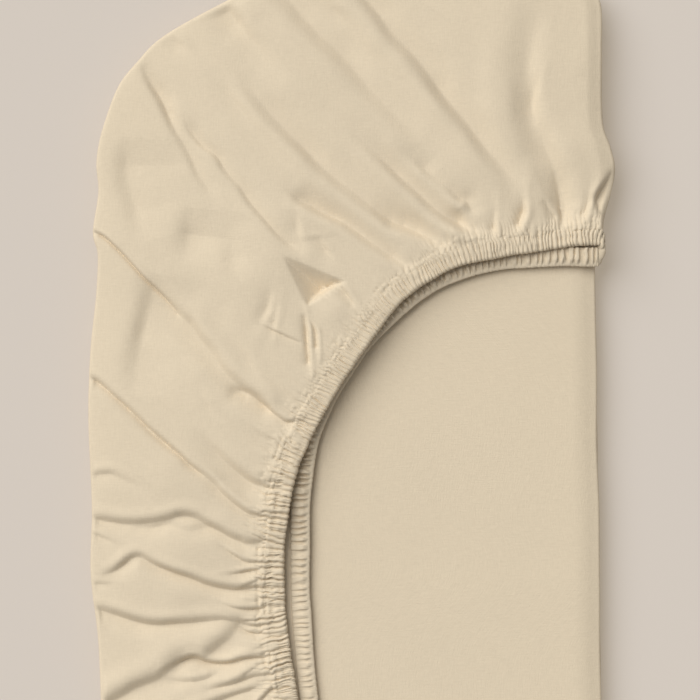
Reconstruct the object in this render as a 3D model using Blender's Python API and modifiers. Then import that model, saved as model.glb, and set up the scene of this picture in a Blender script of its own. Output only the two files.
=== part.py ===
"""A fitted cot sheet, folded flat: cotton laid back and forth in eight layers, with a gathered corner
pocket turned in over the top.

The sheet is one solid. Its middle surface is an open surface, and a thickness is put on both sides of it:
    - seven flat lower layers, joined by folds at the right and left sides by turns
    - the panel, the eighth layer, whose left and back edges turn up into the pocket
    - the pocket's upper skirt, which runs in from that turned edge, with its creases, to the upper hem
    - a fold at the pocket's right side, into the under skirt and the under hem below the upper one
Both hems are casings drawn up by the elastic inside them, so they stand in cross ribs.

Sizes and places are in millimetres: x to the right, y to the back, z up, the floor at 0.
"""

import math
import random

import bmesh
import bpy
import numpy as np

MM = 0.001

# Cloth
CLOTH_THICK = 1.5
HEM_THICK = 1.8
LAYER_PITCH = 2.2  # from one layer's middle surface to the next
SHOULDER = 2.0  # flat strip of a lower layer beside its fold
LAYER_FOLD_STEPS = 3  # straight pieces in the half turn of a layer's fold
POCKET_FOLD_STEPS = 4  # and of the pocket's two rounded edges

# Heights of the pocket's middle surface, above the panel's
TURN_RADIUS = 2.6  # of the turned edge between the panel and the upper skirt
UPPER_HEM_RISE = 6.8
UNDER_HEM_RISE = 2.9
UNDER_SKIRT_RISE = 2.3
LEAST_RISE = 4.4  # the upper skirt's lowest place, clear of the under skirt
SKIRT_CROWN = 1.3  # how far the upper skirt stands up between its turned edge and its hem
CORNER_LIFT = 2.2  # how far the elastic lifts both hems where they turn the corner
CORNER_LIFT_AT = 0.47  # share of the hem's length
CORNER_LIFT_REACH = 0.20

# Hems
CASING_WIDE = 10.0
RIB_PITCH = 3.4
RIB_HALF_HEIGHT = 0.72
RIB_UNEVEN = 0.3  # share of its height that a rib may lack
SCALLOP = 0.35  # how far a rib's crest stands out at the hem's edge
SEED = 7

# Rows of the surface, one after another from the hem's inner edge outwards. out: distance from that edge;
# rib: share of the ribs' height; rise: how far the row stands above the hem's own height
HEM_ROWS = (
    dict(out=0.0, rib=0.85, rise=-0.1),
    dict(out=5.0, rib=1.0, rise=0.2),
    dict(out=CASING_WIDE, rib=0.6, rise=-0.25),
    dict(out=18.0, rib=0.4, rise=0.0),
)
SKIRT_START = 25.0  # where the skirts' own rows start, past the pleats
# Shares of the way from a skirt's start to its turned edge
UPPER_ROWS = (0.0, 0.08, 0.17, 0.33, 0.60, 0.93, 1.0)
UNDER_ROWS = (0.0, 0.33, 0.93)
UPPER_COLUMNS = 72
UNDER_COLUMNS = 24
LAYER_LEFT_POINTS = 12
LAYER_LEFT_SPREAD = 0.75  # below 1, those points lie closer together round the corner
LAYER_RIGHT_POINTS = 5

COLOUR = (0.735, 0.625, 0.445, 1.0)
ROUGHNESS = 0.9

# Inner edge of the upper hem, from the right fold round to the front end
UPPER_HEM = (
    (136.0, 57.6), (116.0, 56.6), (90.8, 52.5), (63.3, 46.8), (39.1, 35.8), (17.4, 14.1),
    (-0.6, -4.8), (-14.9, -32.7), (-25.0, -54.5), (-32.3, -80.9), (-35.8, -109.8),
    (-35.8, -140.0), (-31.0, -176.0), (-26.4, -204.0),
)
# Inner edge of the under hem, which shows past the upper one near both ends
UNDER_HEM = (
    (136.0, 47.6), (116.0, 46.9), (93.0, 46.0), (70.0, 41.2), (36.9, 28.3), (17.0, 13.2),
    (0.0, -5.0), (-14.4, -33.0), (-19.4, -58.0), (-22.4, -93.0), (-22.3, -130.0),
    (-19.2, -176.0), (-16.5, -204.0),
)
# The packet's outer edge round the pocket, from the back right corner to the front left one
OUTLINE = (
    (130.4, 204.4), (60.0, 204.6), (-20.0, 204.4), (-50.0, 201.0), (-72.0, 191.5), (-102.9, 174.0),
    (-117.5, 160.0), (-128.2, 145.8), (-137.0, 122.0), (-140.2, 105.0), (-139.2, 88.0), (-142.2, 66.0),
    (-139.6, 54.0), (-140.4, 32.0), (-143.6, 0.0), (-144.7, -37.0), (-142.8, -85.0), (-143.4, -122.0),
    (-139.2, -160.0), (-137.4, -204.5),
)
# The pocket's right edge, before its fold, from the end of the hem's pleats to the back
RIGHT_EDGE = (
    (136.4, 82.0), (143.0, 102.0), (137.0, 126.0), (136.2, 160.0), (136.2, 190.0), (130.4, 201.0),
)
RIGHT_EDGE_REACH = 0.12  # share of the hem's length over which that edge's shape dies away
FRONT_REACH = 0.06  # and over which the rows are brought level with the packet's front end
FRONT_Y = -204.5
# How the skirts fan out from the hem to the turned edge: a share of the hem's length, and of the edge's
FAN = (
    (0.0, 0.0), (0.09, 0.17), (0.21, 0.31), (0.37, 0.41), (0.54, 0.57), (0.70, 0.72), (0.83, 0.87),
    (1.0, 1.0),
)

# The folds that join each layer to the next one up. out: how far a fold lies outside the panel's own edge
LAYER_FOLDS = (
    dict(side="right", out=0.4),
    dict(side="left", out=-0.9),
    dict(side="right", out=-0.6),
    dict(side="left", out=-0.3),
    dict(side="right", out=1.4),
    dict(side="left", out=-1.1),
    dict(side="right", out=0.0),
)
# How far each layer's front and back ends lie in from the panel's
LAYER_ENDS = (
    dict(front=1.2, back=1.5),
    dict(front=0.4, back=0.8),
    dict(front=0.9, back=1.6),
    dict(front=0.3, back=0.5),
    dict(front=1.0, back=1.1),
    dict(front=0.2, back=1.8),
    dict(front=0.7, back=0.9),
    dict(front=0.0, back=0.0),
)
LOOSE_EDGE_OUT = -1.6  # the bottom layer's free left edge
LEFT_CORNER_SHARE = 0.33  # of the outline's length, where the lower layers' left folds stop at the back
RIGHT_FRONT_X = 135.1
RIGHT_BACK_X = 130.4

# Creases of the upper skirt. depth and wide: of the trough; roll: height of the soft roll on its left side,
# as one goes along the path, which leads from the outer edge towards the hem
CREASES = (
    dict(depth=1.8, roll=1.5, wide=6.0, path=((-143, 65), (-113, 40), (-82, 8), (-40, -36))),
    dict(depth=1.9, roll=1.6, wide=6.0, path=((-145, -15), (-115, -38), (-82, -66), (-52, -91))),
    dict(depth=1.8, roll=1.7, wide=6.5, path=((-144, -93), (-104, -92), (-71, -96), (-50, -106))),
    dict(depth=1.9, roll=1.6, wide=6.0, path=((-143, -122), (-115, -116), (-96, -122), (-55, -132))),
    dict(depth=1.7, roll=1.5, wide=6.0, path=((-142, -143), (-110, -150), (-69, -148), (-48, -154))),
    dict(depth=2.0, roll=1.6, wide=6.5, path=((-133, -194), (-99, -176), (-82, -170), (-50, -171))),
    dict(depth=1.1, roll=1.0, wide=7.5, path=((10, 200), (33, 162), (58, 129), (96, 78))),
    dict(depth=1.0, roll=1.0, wide=7.5, path=((-31, 200), (-5, 168), (19, 126), (60, 72))),
    dict(depth=1.1, roll=1.0, wide=7.5, path=((-76, 190), (-47, 138), (-22, 104), (44, 60))),
    dict(depth=1.3, roll=1.1, wide=7.5, path=((-116, 156), (-88, 107), (-60, 71), (-28, 52))),
    dict(depth=1.3, roll=0.8, wide=7.0, path=((-30, 85), (-5, 69), (26, 48))),
    dict(depth=1.9, roll=0.7, wide=9.0, path=((-37, 50), (-22, 32))),
    dict(depth=1.0, roll=0.9, wide=7.5, path=((93, 150), (107, 104), (117, 74))),
)
ROLL_FROM_TROUGH = 1.9  # distance from a trough's middle to its roll's, in trough widths
ROLL_WIDE = 1.3  # a roll's width, in trough widths
FULL_CREASE_ROW = 0.10  # share of the skirt over which the creases rise from the hem's pleats

RIGHTWARD = np.array((1.0, 0.0, 0.0))
PANEL = len(LAYER_FOLDS)  # the panel's number as a layer, counted from 0 at the bottom


def layer_height(index):
    """Middle surface of a layer."""
    return CLOTH_THICK / 2 + index * LAYER_PITCH


PANEL_HEIGHT = layer_height(PANEL)


def smooth_curve(points, steps=12):
    """Many points along a Catmull-Rom curve through these."""
    given = np.array(points, float)
    ends = np.vstack([2 * given[0] - given[1], given, 2 * given[-1] - given[-2]])
    share = np.linspace(0, 1, steps, endpoint=False)[:, None]
    spans = [
        start + 0.5 * share * (end - before + share * (
            2 * before - 5 * start + 4 * end - after + share * (3 * start - before - 3 * end + after)
        ))
        for before, start, end, after in zip(ends[:-3], ends[1:-2], ends[2:-1], ends[3:])
    ]
    return np.vstack([*spans, given[-1:]])


def length_shares(points):
    """How far along a line each of its points lies, from 0 to 1."""
    along = np.concatenate([[0], np.cumsum(np.linalg.norm(np.diff(points, axis=0), axis=1))])
    return along / along[-1]


def at_shares(line, shares):
    """The points at these shares of a line's length."""
    own = length_shares(line)
    return np.stack([np.interp(shares, own, line[:, axis]) for axis in range(line.shape[1])], axis=1)


def left_normals(line, shares, step=0.004):
    """Unit vectors to the left of the way a flat line runs, at these shares of its length."""
    shares = np.asarray(shares)
    way = at_shares(line, np.clip(shares + step, 0, 1)) - at_shares(line, np.clip(shares - step, 0, 1))
    way /= np.linalg.norm(way, axis=1)[:, None]
    return np.stack([-way[:, 1], way[:, 0]], axis=1)


def with_height(xy, z):
    return np.column_stack([xy, np.broadcast_to(z, len(xy))])


def front_levelled(xy, marks):
    """The row, with its last point brought to the packet's front end and those near it moved with it."""
    fade = np.clip(1 - (1 - marks) / FRONT_REACH, 0, 1)
    return xy + fade[:, None] * (0, FRONT_Y - xy[-1, 1])


def bell(distance, wide):
    return np.exp(-((distance / wide) ** 2))


class Surface:
    """The points and faces of the middle surface."""

    def __init__(self):
        self.points = []
        self.faces = []
        self.hem = []

    def row(self, xyz, hem=False):
        """Adds a line of points and returns their numbers."""
        numbers = list(range(len(self.points), len(self.points) + len(xyz)))
        self.points.extend(tuple(map(float, point)) for point in xyz)
        if hem:
            self.hem.extend(numbers)
        return numbers

    def place(self, numbers):
        return np.array([self.points[number] for number in numbers])

    def strip(self, one, other):
        """Four-sided faces between two rows of as many points."""
        self.faces.extend(zip(one[:-1], one[1:], other[1:], other[:-1]))

    def zipper(self, one, one_marks, other, other_marks):
        """Triangles between two rows of unlike numbers of points, kept level by their marks."""
        i = j = 0
        while i + 1 < len(one) or j + 1 < len(other):
            if j + 1 == len(other) or (i + 1 < len(one) and one_marks[i + 1] <= other_marks[j + 1]):
                self.faces.append((one[i], one[i + 1], other[j]))
                i += 1
            else:
                self.faces.append((one[i], other[j + 1], other[j]))
                j += 1

    def fold(self, low, high, outward, reach, steps):
        """A rounded edge, half a turn from one row up to another, which may have fewer points. Where the two
        rows are level, it stands out from them by its reach."""
        marks = length_shares(self.place(low))
        start = self.place(low)
        end = at_shares(self.place(high), marks)
        previous = low
        for step in range(1, steps):
            angle = math.pi * step / steps
            share = (1 - math.cos(angle)) / 2
            current = self.row(start + (end - start) * share + outward * reach * math.sin(angle))
            self.strip(previous, current)
            previous = current
        self.zipper(previous, marks, high, length_shares(self.place(high)))


def turned_edge():
    """The line where the panel starts to turn up: the outline less the turn's own reach."""
    line = smooth_curve(OUTLINE)
    return line + left_normals(line, length_shares(line)) * (TURN_RADIUS + CLOTH_THICK / 2)


def corner_lift(shares):
    return CORNER_LIFT * bell(shares - CORNER_LIFT_AT, CORNER_LIFT_REACH)


def crease_height(xy):
    """What the creases add at each point: a soft trough along each path, and a roll beside it."""
    height = np.zeros(len(xy))
    every = np.arange(len(xy))
    for crease in CREASES:
        path = smooth_curve(crease["path"], steps=6)
        start = path[:-1]
        way = np.diff(path, axis=0)
        share = np.clip(((xy[:, None] - start) * way).sum(axis=2) / (way**2).sum(axis=1), 0, 1)
        apart = xy[:, None] - start - share[..., None] * way
        nearest = np.linalg.norm(apart, axis=2).argmin(axis=1)
        off = apart[every, nearest]
        side = np.sign(way[nearest, 0] * off[:, 1] - way[nearest, 1] * off[:, 0])
        distance = side * np.linalg.norm(off, axis=1)
        wide = crease["wide"]
        height += crease["roll"] * bell(distance - ROLL_FROM_TROUGH * wide, ROLL_WIDE * wide)
        height -= crease["depth"] * bell(distance, wide)
    return height


def layer_ends(index):
    """Places in y of a layer's front and back ends."""
    ends = LAYER_ENDS[index]
    return FRONT_Y + ends["front"], turned_edge()[0, 1] - ends["back"]


def left_side(edge, out):
    """A lower layer's left side, from the front end round the rounded corner onto the back end."""
    spread = np.linspace(0, 1, LAYER_LEFT_POINTS) ** LAYER_LEFT_SPREAD
    shares = 1 - (1 - LEFT_CORNER_SHARE) * spread
    outward = -left_normals(edge, shares)
    return at_shares(edge, shares) + outward * out, outward


def right_side(index, out):
    """A layer's right side, from the front end to the back end."""
    share = np.linspace(0, 1, LAYER_RIGHT_POINTS)
    front, back = layer_ends(index)
    x = RIGHT_FRONT_X + (RIGHT_BACK_X - RIGHT_FRONT_X) * share + out
    return np.column_stack([x, front + (back - front) * share])


def add_lower_layers(surface):
    """The seven lower layers and their folds. Returns the right side's row of the topmost one."""
    edge = turned_edge()
    right_out = [fold["out"] for fold in LAYER_FOLDS if fold["side"] == "right"]
    left_out = [LOOSE_EDGE_OUT] + [fold["out"] for fold in LAYER_FOLDS if fold["side"] == "left"]
    below = None
    for index in range(PANEL):
        z = layer_height(index)
        left, outward = left_side(edge, left_out[(index + 1) // 2])
        left[:, 1] = np.clip(left[:, 1], *layer_ends(index))
        right = right_side(index, right_out[index // 2])
        left_inner = left - outward * SHOULDER
        left_inner[0, 1] = left[0, 1]
        left_inner[-1] = left[-1] + (SHOULDER, 0)
        right_inner = right - (SHOULDER, 0)
        rows = [surface.row(with_height(line, z)) for line in (left, left_inner, right_inner, right)]
        surface.strip(rows[0], rows[1])
        surface.zipper(rows[1], left_inner[:, 1], rows[2], right_inner[:, 1])
        surface.strip(rows[2], rows[3])
        if below is not None:
            if LAYER_FOLDS[index - 1]["side"] == "left":
                surface.fold(below[0], rows[0], with_height(outward, 0), LAYER_PITCH / 2, LAYER_FOLD_STEPS)
            else:
                surface.fold(below[3], rows[3], RIGHTWARD, LAYER_PITCH / 2, LAYER_FOLD_STEPS)
        below = rows
    return below[3]


def add_panel(surface, layer_right):
    """The top layer, folded over from the one below it. Returns the row of its left and back edge, from the
    back right corner to the front."""
    edge = turned_edge()
    hem_shares = np.linspace(0, 1, UPPER_COLUMNS + 1)
    edge_shares = np.interp(hem_shares, *zip(*FAN))
    rim_line = at_shares(edge, edge_shares)
    rim = surface.row(with_height(rim_line, PANEL_HEIGHT))
    right_line = right_side(PANEL, 0.0)[:-1]
    right = surface.row(with_height(right_line, PANEL_HEIGHT))
    surface.zipper(rim[::-1], rim_line[::-1, 1], right, right_line[:, 1])
    surface.fold(layer_right, right + rim[:1], RIGHTWARD, LAYER_PITCH / 2, LAYER_FOLD_STEPS)
    return rim


def rib_marks(line, rng):
    """Where the valleys and crests of a hem's ribs lie, as shares of its length, and the height of each."""
    length = np.linalg.norm(np.diff(line, axis=0), axis=1).sum()
    count = 2 * round(length / RIB_PITCH)
    steps = np.array([rng.uniform(0.85, 1.15) for _ in range(count)])
    shares = np.concatenate([[0], np.cumsum(steps)]) / steps.sum()
    heights = np.array([rng.uniform(1 - RIB_UNEVEN, 1) for _ in shares])
    heights[::2] *= -1
    return shares, heights


def add_hem(surface, points, rise, columns):
    """A ribbed hem, and the first row of its skirt. Returns its rows, the skirt's row last."""
    line = smooth_curve(points)
    shares, heights = rib_marks(line, random.Random(SEED))
    inward = left_normals(line, shares)
    base = PANEL_HEIGHT + rise + corner_lift(shares)
    rows = []
    for row in HEM_ROWS:
        out = row["out"] - (SCALLOP * heights if row["out"] == 0 else 0)
        xy = at_shares(line, shares) - inward * np.reshape(out, (-1, 1))
        z = base + row["rise"] + RIB_HALF_HEIGHT * row["rib"] * heights
        place = with_height(front_levelled(xy, shares), z)
        rows.append(surface.row(place, hem=row["out"] <= CASING_WIDE))
    for one, other in zip(rows[:-1], rows[1:]):
        surface.strip(one, other)
    marks = np.linspace(0, 1, columns + 1)
    xy = at_shares(line, marks) - left_normals(line, marks) * SKIRT_START
    z = PANEL_HEIGHT + rise + corner_lift(marks)
    rows.append(surface.row(with_height(front_levelled(xy, marks), z)))
    surface.zipper(rows[-2], shares, rows[-1], marks)
    return rows


def skirt_line(first, edge, share):
    """Places of a skirt's row: this share of the way from its first row to the turned edge, with the shape
    of the pocket's right edge."""
    marks = np.linspace(0, 1, len(first))
    last = at_shares(edge, np.interp(marks, *zip(*FAN)))
    straight = first[:, :2] * (1 - share) + last * share
    own = at_shares(smooth_curve(RIGHT_EDGE), [share])[0]
    fade = np.clip(1 - marks / RIGHT_EDGE_REACH, 0, 1)[:, None]
    return front_levelled(straight + fade * (own - straight[0]), marks)


def add_upper_skirt(surface, first, rim):
    """The upper skirt, and the turned edge down to the panel. Returns its rows' numbers."""
    edge = turned_edge()
    start = surface.place(first)
    rows = [first]
    for share in UPPER_ROWS[1:]:
        xy = skirt_line(start, edge, share)
        level = start[:, 2] * (1 - share) + (PANEL_HEIGHT + 2 * TURN_RADIUS) * share
        crown = SKIRT_CROWN * math.sin(math.pi * share)
        grown = min(1, share / FULL_CREASE_ROW)
        z = np.maximum(level + crown + grown * crease_height(xy), PANEL_HEIGHT + LEAST_RISE)
        rows.append(surface.row(with_height(xy, z)))
        surface.strip(rows[-2], rows[-1])
    shares = np.interp(np.linspace(0, 1, len(rim)), *zip(*FAN))
    outward = with_height(-left_normals(edge, shares), 0)
    surface.fold(rim, rows[-1], outward, TURN_RADIUS, POCKET_FOLD_STEPS)
    return rows


def add_under_skirt(surface, first):
    """The under skirt, which ends in a loose edge inside the pocket."""
    edge = turned_edge()
    start = surface.place(first)
    rows = [first]
    for share in UNDER_ROWS[1:]:
        z = start[:, 2] * (1 - share) + (PANEL_HEIGHT + UNDER_SKIRT_RISE) * share
        rows.append(surface.row(with_height(skirt_line(start, edge, share), z)))
        surface.strip(rows[-2], rows[-1])
    return rows


def add_pocket(surface, rim):
    upper_hem = add_hem(surface, UPPER_HEM, UPPER_HEM_RISE, UPPER_COLUMNS)
    upper = upper_hem + add_upper_skirt(surface, upper_hem[-1], rim)[1:]
    under_hem = add_hem(surface, UNDER_HEM, UNDER_HEM_RISE, UNDER_COLUMNS)
    under = under_hem + add_under_skirt(surface, under_hem[-1])[1:]
    from_upper = [row[0] for row in upper[:-1]]
    to_under = [row[0] for row in under]
    rise = surface.place(from_upper)[:, 2].mean() - surface.place(to_under)[:, 2].mean()
    surface.fold(from_upper, to_under, RIGHTWARD, rise / 2, POCKET_FOLD_STEPS)


def make_cloth():
    material = bpy.data.materials.new("cotton")
    material.use_nodes = True
    finish = material.node_tree.nodes["Principled BSDF"]
    finish.inputs["Base Color"].default_value = COLOUR
    finish.inputs["Roughness"].default_value = ROUGHNESS
    finish.inputs["Metallic"].default_value = 0.0
    return material


def make_sheet(collection):
    surface = Surface()
    add_pocket(surface, add_panel(surface, add_lower_layers(surface)))
    mesh = bpy.data.meshes.new("fitted_sheet")
    mesh.from_pydata([tuple(MM * value for value in point) for point in surface.points], [], surface.faces)
    shape = bmesh.new()
    shape.from_mesh(mesh)
    bmesh.ops.recalc_face_normals(shape, faces=shape.faces)
    shape.to_mesh(mesh)
    shape.free()
    mesh.shade_smooth()
    mesh.materials.append(make_cloth())
    sheet = bpy.data.objects.new("fitted_sheet", mesh)
    collection.objects.link(sheet)
    hem = sheet.vertex_groups.new(name="hem")
    hem.add(surface.hem, 1.0, "REPLACE")
    wall = sheet.modifiers.new("thickness", "SOLIDIFY")
    wall.thickness = HEM_THICK * MM
    wall.offset = 0
    wall.vertex_group = "hem"
    wall.thickness_vertex_group = CLOTH_THICK / HEM_THICK
    return sheet


def main():
    for item in list(bpy.data.objects):
        bpy.data.objects.remove(item, do_unlink=True)
    collection = bpy.data.collections.new("fitted_sheet_folded")
    bpy.context.scene.collection.children.link(collection)
    make_sheet(collection)


main()
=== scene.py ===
import math

import bpy
import numpy as np
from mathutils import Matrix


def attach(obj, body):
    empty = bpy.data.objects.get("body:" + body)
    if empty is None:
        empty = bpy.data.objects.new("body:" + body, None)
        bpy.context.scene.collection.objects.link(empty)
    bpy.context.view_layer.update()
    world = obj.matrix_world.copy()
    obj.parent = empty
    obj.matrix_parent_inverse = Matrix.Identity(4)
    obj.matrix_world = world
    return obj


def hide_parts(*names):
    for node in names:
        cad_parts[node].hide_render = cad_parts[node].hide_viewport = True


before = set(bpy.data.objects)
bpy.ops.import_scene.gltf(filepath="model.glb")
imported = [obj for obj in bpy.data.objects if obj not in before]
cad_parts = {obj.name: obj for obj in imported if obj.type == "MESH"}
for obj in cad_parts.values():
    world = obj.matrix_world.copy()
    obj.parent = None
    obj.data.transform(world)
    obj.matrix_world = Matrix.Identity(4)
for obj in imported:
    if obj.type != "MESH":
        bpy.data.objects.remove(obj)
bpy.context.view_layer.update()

# A fitted cot sheet in sand cotton, folded flat, with one gathered corner turned in over the top.
# Shapes are worked out in millimetres, x to the right, y to the back, z up, and go into the meshes in
# metres.

mm = 0.001

packet = dict(
    panelHeight=14.4,  # middle of the top layer, above the floor
    frontY=-204.5,
    turnRadius=3.4,  # half the height of the turned edge between the panel and the pocket
    turnOut=1.4,  # how far that edge stands out
    clothThick=0.8,
    # the outer edge round the pocket, from the back right corner to the front left one
    outline=(
        (130.4, 204.4), (60.0, 204.6), (-20.0, 204.4), (-50.0, 201.0), (-72.0, 191.5), (-102.9, 174.0),
        (-117.5, 160.0), (-128.2, 145.8), (-137.0, 122.0), (-140.2, 105.0), (-139.2, 88.0), (-142.2, 66.0),
        (-139.6, 54.0), (-140.4, 32.0), (-143.6, 0.0), (-144.7, -37.0), (-142.8, -85.0), (-143.4, -122.0),
        (-139.2, -160.0), (-137.4, -204.5),
    ),
)

hem = dict(
    # inner edge of the upper band, from the right fold round to the front end
    upper=(
        (136.0, 59.3), (130.0, 59.0), (112.8, 57.4), (86.4, 52.9), (60.0, 47.6), (42.4, 38.7), (33.6, 32.8),
        (24.8, 25.0), (11.5, 7.2), (3.2, -4.4), (-4.4, -15.4), (-11.0, -26.4), (-17.2, -37.4), (-23.0, -48.4),
        (-27.3, -59.4), (-31.2, -70.4), (-33.6, -81.4), (-35.4, -92.4), (-36.7, -105.0), (-37.3, -120.0),
        (-36.9, -136.4), (-34.8, -157.0), (-31.6, -178.0), (-27.6, -204.5),
    ),
    # and of the under band, which shows past it near both ends
    under=(
        (136.0, 47.8), (130.0, 47.6), (112.8, 47.7), (86.4, 46.0), (68.8, 43.0), (51.2, 36.6), (42.4, 31.2),
        (33.6, 24.9), (24.8, 17.4), (12.6, 5.0), (4.4, -6.0), (-3.2, -17.4), (-9.6, -28.4), (-14.4, -38.6),
        (-18.0, -48.4), (-20.2, -59.4), (-21.8, -70.4), (-22.9, -81.4), (-23.3, -92.4), (-23.1, -115.0),
        (-22.9, -136.4), (-21.6, -157.0), (-19.8, -178.0), (-17.1, -204.5),
    ),
    wide=10.0,  # from the inner edge to the stitching
    upperRise=9.4,  # middle of the upper band above the panel's
    endFall=(3.1, 3.0),  # how much lower it lies at the right fold and at the front end
    endFallShares=(0.02, 0.22, 0.65, 0.84),  # of its length, where it comes down to the one and to the other
    underRise=3.7,
    underFrontRise=3.5,  # the same at the front end
    underFrontShares=(0.55, 0.85),
    underTilt=0.17,  # how steeply the under band falls from its inner edge to its stitching
    underTiltShares=(0.01, 0.13),
    cornerLift=3.2,  # how far the elastic lifts the upper band where it turns the corner
    cornerLiftAt=0.47,
    cornerLiftReach=0.24,
    underLift=0.7,  # and the under band this many times as far
    squareEnds=0.03,  # share of each end over which the bands come to lie square to it
    turnRibs=3,  # ribs round the right fold, from one band to the other
    ribPitch=3.3,
    clothPerRib=6.5,  # length of cloth gathered into a rib
    columnsPerRib=14,
    sectionPoints=24,
    flatHalf=0.55,  # half the casing's thickness in the valleys between ribs
    ribHeight=2.8,
    underRelief=0.3,  # share of the ribs' height that shows on the casing's under side
    edgeRound=1.7,
    stitchRound=0.7,
    scallop=(0.9, 2.5),  # how far each rib's crest stands out at the inner edge, and how far in that reaches
    edgeWander=(0.3, 3.7, 4.0),  # how far that edge strays, over how many ribs, and how far in that reaches
    # share of the way from the front end, and how far the ribs stand out there
    ribStrengths=((0.0, 1.1), (0.35, 1.05), (0.5, 0.6), (0.85, 0.5), (0.97, 0.8)),
    cornerStart=0.44,  # from this share of the way on
    cornerExtra=0.45,  # there are this many more ribs to a rib pitch
    lean=0.08,  # ribs that a rib leans to one side for each millimetre across
    leanMiddle=5.0,
    leanReach=18.0,
    leanRibs=2.6,  # from one that leans to the next that leans otherwise
    strays=((0.25, 3.1), (0.14, 1.2)),  # how far ribs stray from their line, and over what distance
    split=0.65,  # depth of the finer ribs that lie between the others in patches
    splitPatch=2.2,
    splitFrom=(-0.25, 0.4),
    creaseShare=0.5,  # how much of a crease of the pocket runs on into the casing
    creaseAcross=(1.0, 6.0),
    creaseLimit=0.6,
    seed=3,
)

# how uneven gathers are: in place, over one rib and over several, and in depth and height
uneven = dict(place=0.3, widePlace=0.55, wideRibs=5.0, depth=0.2, height=0.15)


def smoothCurve(points, steps=12):
    # Catmull-Rom: in each span a cubic of the span's share, through the points themselves
    given = np.array(points, float)
    ends = np.vstack([2 * given[0] - given[1], given, 2 * given[-1] - given[-2]])
    share = np.linspace(0, 1, steps, endpoint=False)[None, :, None]
    before, start, end, after = (ends[k:len(ends) - 3 + k, None] for k in range(4))
    spans = start + 0.5 * share * (end - before + share * (
        2 * before - 5 * start + 4 * end - after + share * (3 * start - before - 3 * end + after)
    ))
    return np.vstack([spans.reshape(-1, given.shape[1]), given[-1:]])


def lineLength(line):
    # the sum of its spans
    return np.linalg.norm(np.diff(line, axis=0), axis=1).sum()


def atShares(line, shares):
    # the points at these shares of a line's length
    along = np.concatenate([[0], np.cumsum(np.linalg.norm(np.diff(line, axis=0), axis=1))])
    return np.stack([np.interp(shares, along / along[-1], axis) for axis in line.T], axis=-1)


def leftNormals(line, shares, step=0.006):
    # unit vectors to the left of the way a flat line runs: its chord between a step before and a step
    # after, turned by a quarter
    way = atShares(line, np.clip(shares + step, 0, 1)) - atShares(line, np.clip(shares - step, 0, 1))
    way /= np.linalg.norm(way, axis=-1, keepdims=True)
    return np.stack([-way[..., 1], way[..., 0]], axis=-1)


def bell(distance, wide):
    # 1 at no distance, and e to the power of less its square, in widths
    return np.exp(-((distance / wide) ** 2))


def ramp(value, low, high):
    # 0 below low, 1 above high, with a smooth step between
    share = np.clip((value - low) / (high - low), 0, 1)
    return share * share * (3 - 2 * share)


def softLine(place, size, seed, cells=4096):
    # noise along a line, from -1 to 1: random values a size apart, blended by a smooth step
    values = np.random.default_rng(seed).uniform(-1, 1, cells)
    place = np.asarray(place) / size + 1000
    cell = np.floor(place).astype(int)
    share = ramp(place - cell, 0, 1)
    return values[cell % cells] * (1 - share) + values[(cell + 1) % cells] * share


def softField(x, y, size, seed, cells=64):
    # the same over a plane, from a grid of random values
    values = np.random.default_rng(seed).uniform(-1, 1, (cells, cells))
    x, y = np.asarray(x) / size + cells / 2, np.asarray(y) / size + cells / 2
    column, line = np.floor(x).astype(int), np.floor(y).astype(int)
    across, along = ramp(x - column, 0, 1), ramp(y - line, 0, 1)
    corner = [[values[(line + j) % cells, (column + i) % cells] for i in (0, 1)] for j in (0, 1)]
    near = corner[0][0] * (1 - across) + corner[0][1] * across
    far = corner[1][0] * (1 - across) + corner[1][1] * across
    return near * (1 - along) + far * along


settling = dict(rounds=8, leastAgreement=0.45)  # the latter is a cosine


def settle(piece):
    # takes up what the modifiers give as the piece's own mesh, and lays flat the small faces that they
    # turned over: a face that leans too far from the mean of those around it has its corners moved to
    # the mean of their neighbours
    full = piece.data
    mesh = bpy.data.meshes.new_from_object(piece.evaluated_get(bpy.context.evaluated_depsgraph_get()))
    piece.modifiers.clear()
    piece.data = mesh
    mesh.name = piece.name + "Settled"
    bpy.data.meshes.remove(full)
    count = len(mesh.vertices)
    sides = np.empty(len(mesh.polygons), np.int32)
    mesh.polygons.foreach_get("loop_total", sides)
    faceOf = np.repeat(np.arange(len(sides)), sides)
    firsts = np.cumsum(sides) - sides
    corner = np.empty(len(mesh.loops), np.int32)
    mesh.loops.foreach_get("vertex_index", corner)
    edges = np.empty(2 * len(mesh.edges), np.int32)
    mesh.edges.foreach_get("vertices", edges)
    start, end = edges.reshape(-1, 2).T
    ends = np.concatenate([start, end])
    others = np.concatenate([end, start])
    place = np.empty(3 * count)
    normal = np.empty(3 * len(mesh.polygons))
    for _ in range(settling["rounds"]):
        mesh.polygons.foreach_get("normal", normal)
        mesh.vertices.foreach_get("co", place)
        facing = normal.reshape(-1, 3)
        around = np.stack([np.bincount(corner, facing[faceOf, k], count) for k in range(3)], axis=1)
        around /= np.maximum(np.linalg.norm(around, axis=1, keepdims=True), 1e-9)
        agreement = np.minimum.reduceat((facing[faceOf] * around[corner]).sum(axis=1), firsts)
        moving = np.unique(corner[agreement[faceOf] < settling["leastAgreement"]])
        points = place.reshape(-1, 3)
        sums = np.stack([np.bincount(ends, points[others, k], count) for k in range(3)], axis=1)
        points[moving] = sums[moving] / np.bincount(ends, minlength=count)[moving, None]
        mesh.vertices.foreach_set("co", points.ravel())
        mesh.update()
    print("settled at", len(mesh.loops) - 2 * len(mesh.polygons), "triangles")


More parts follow.
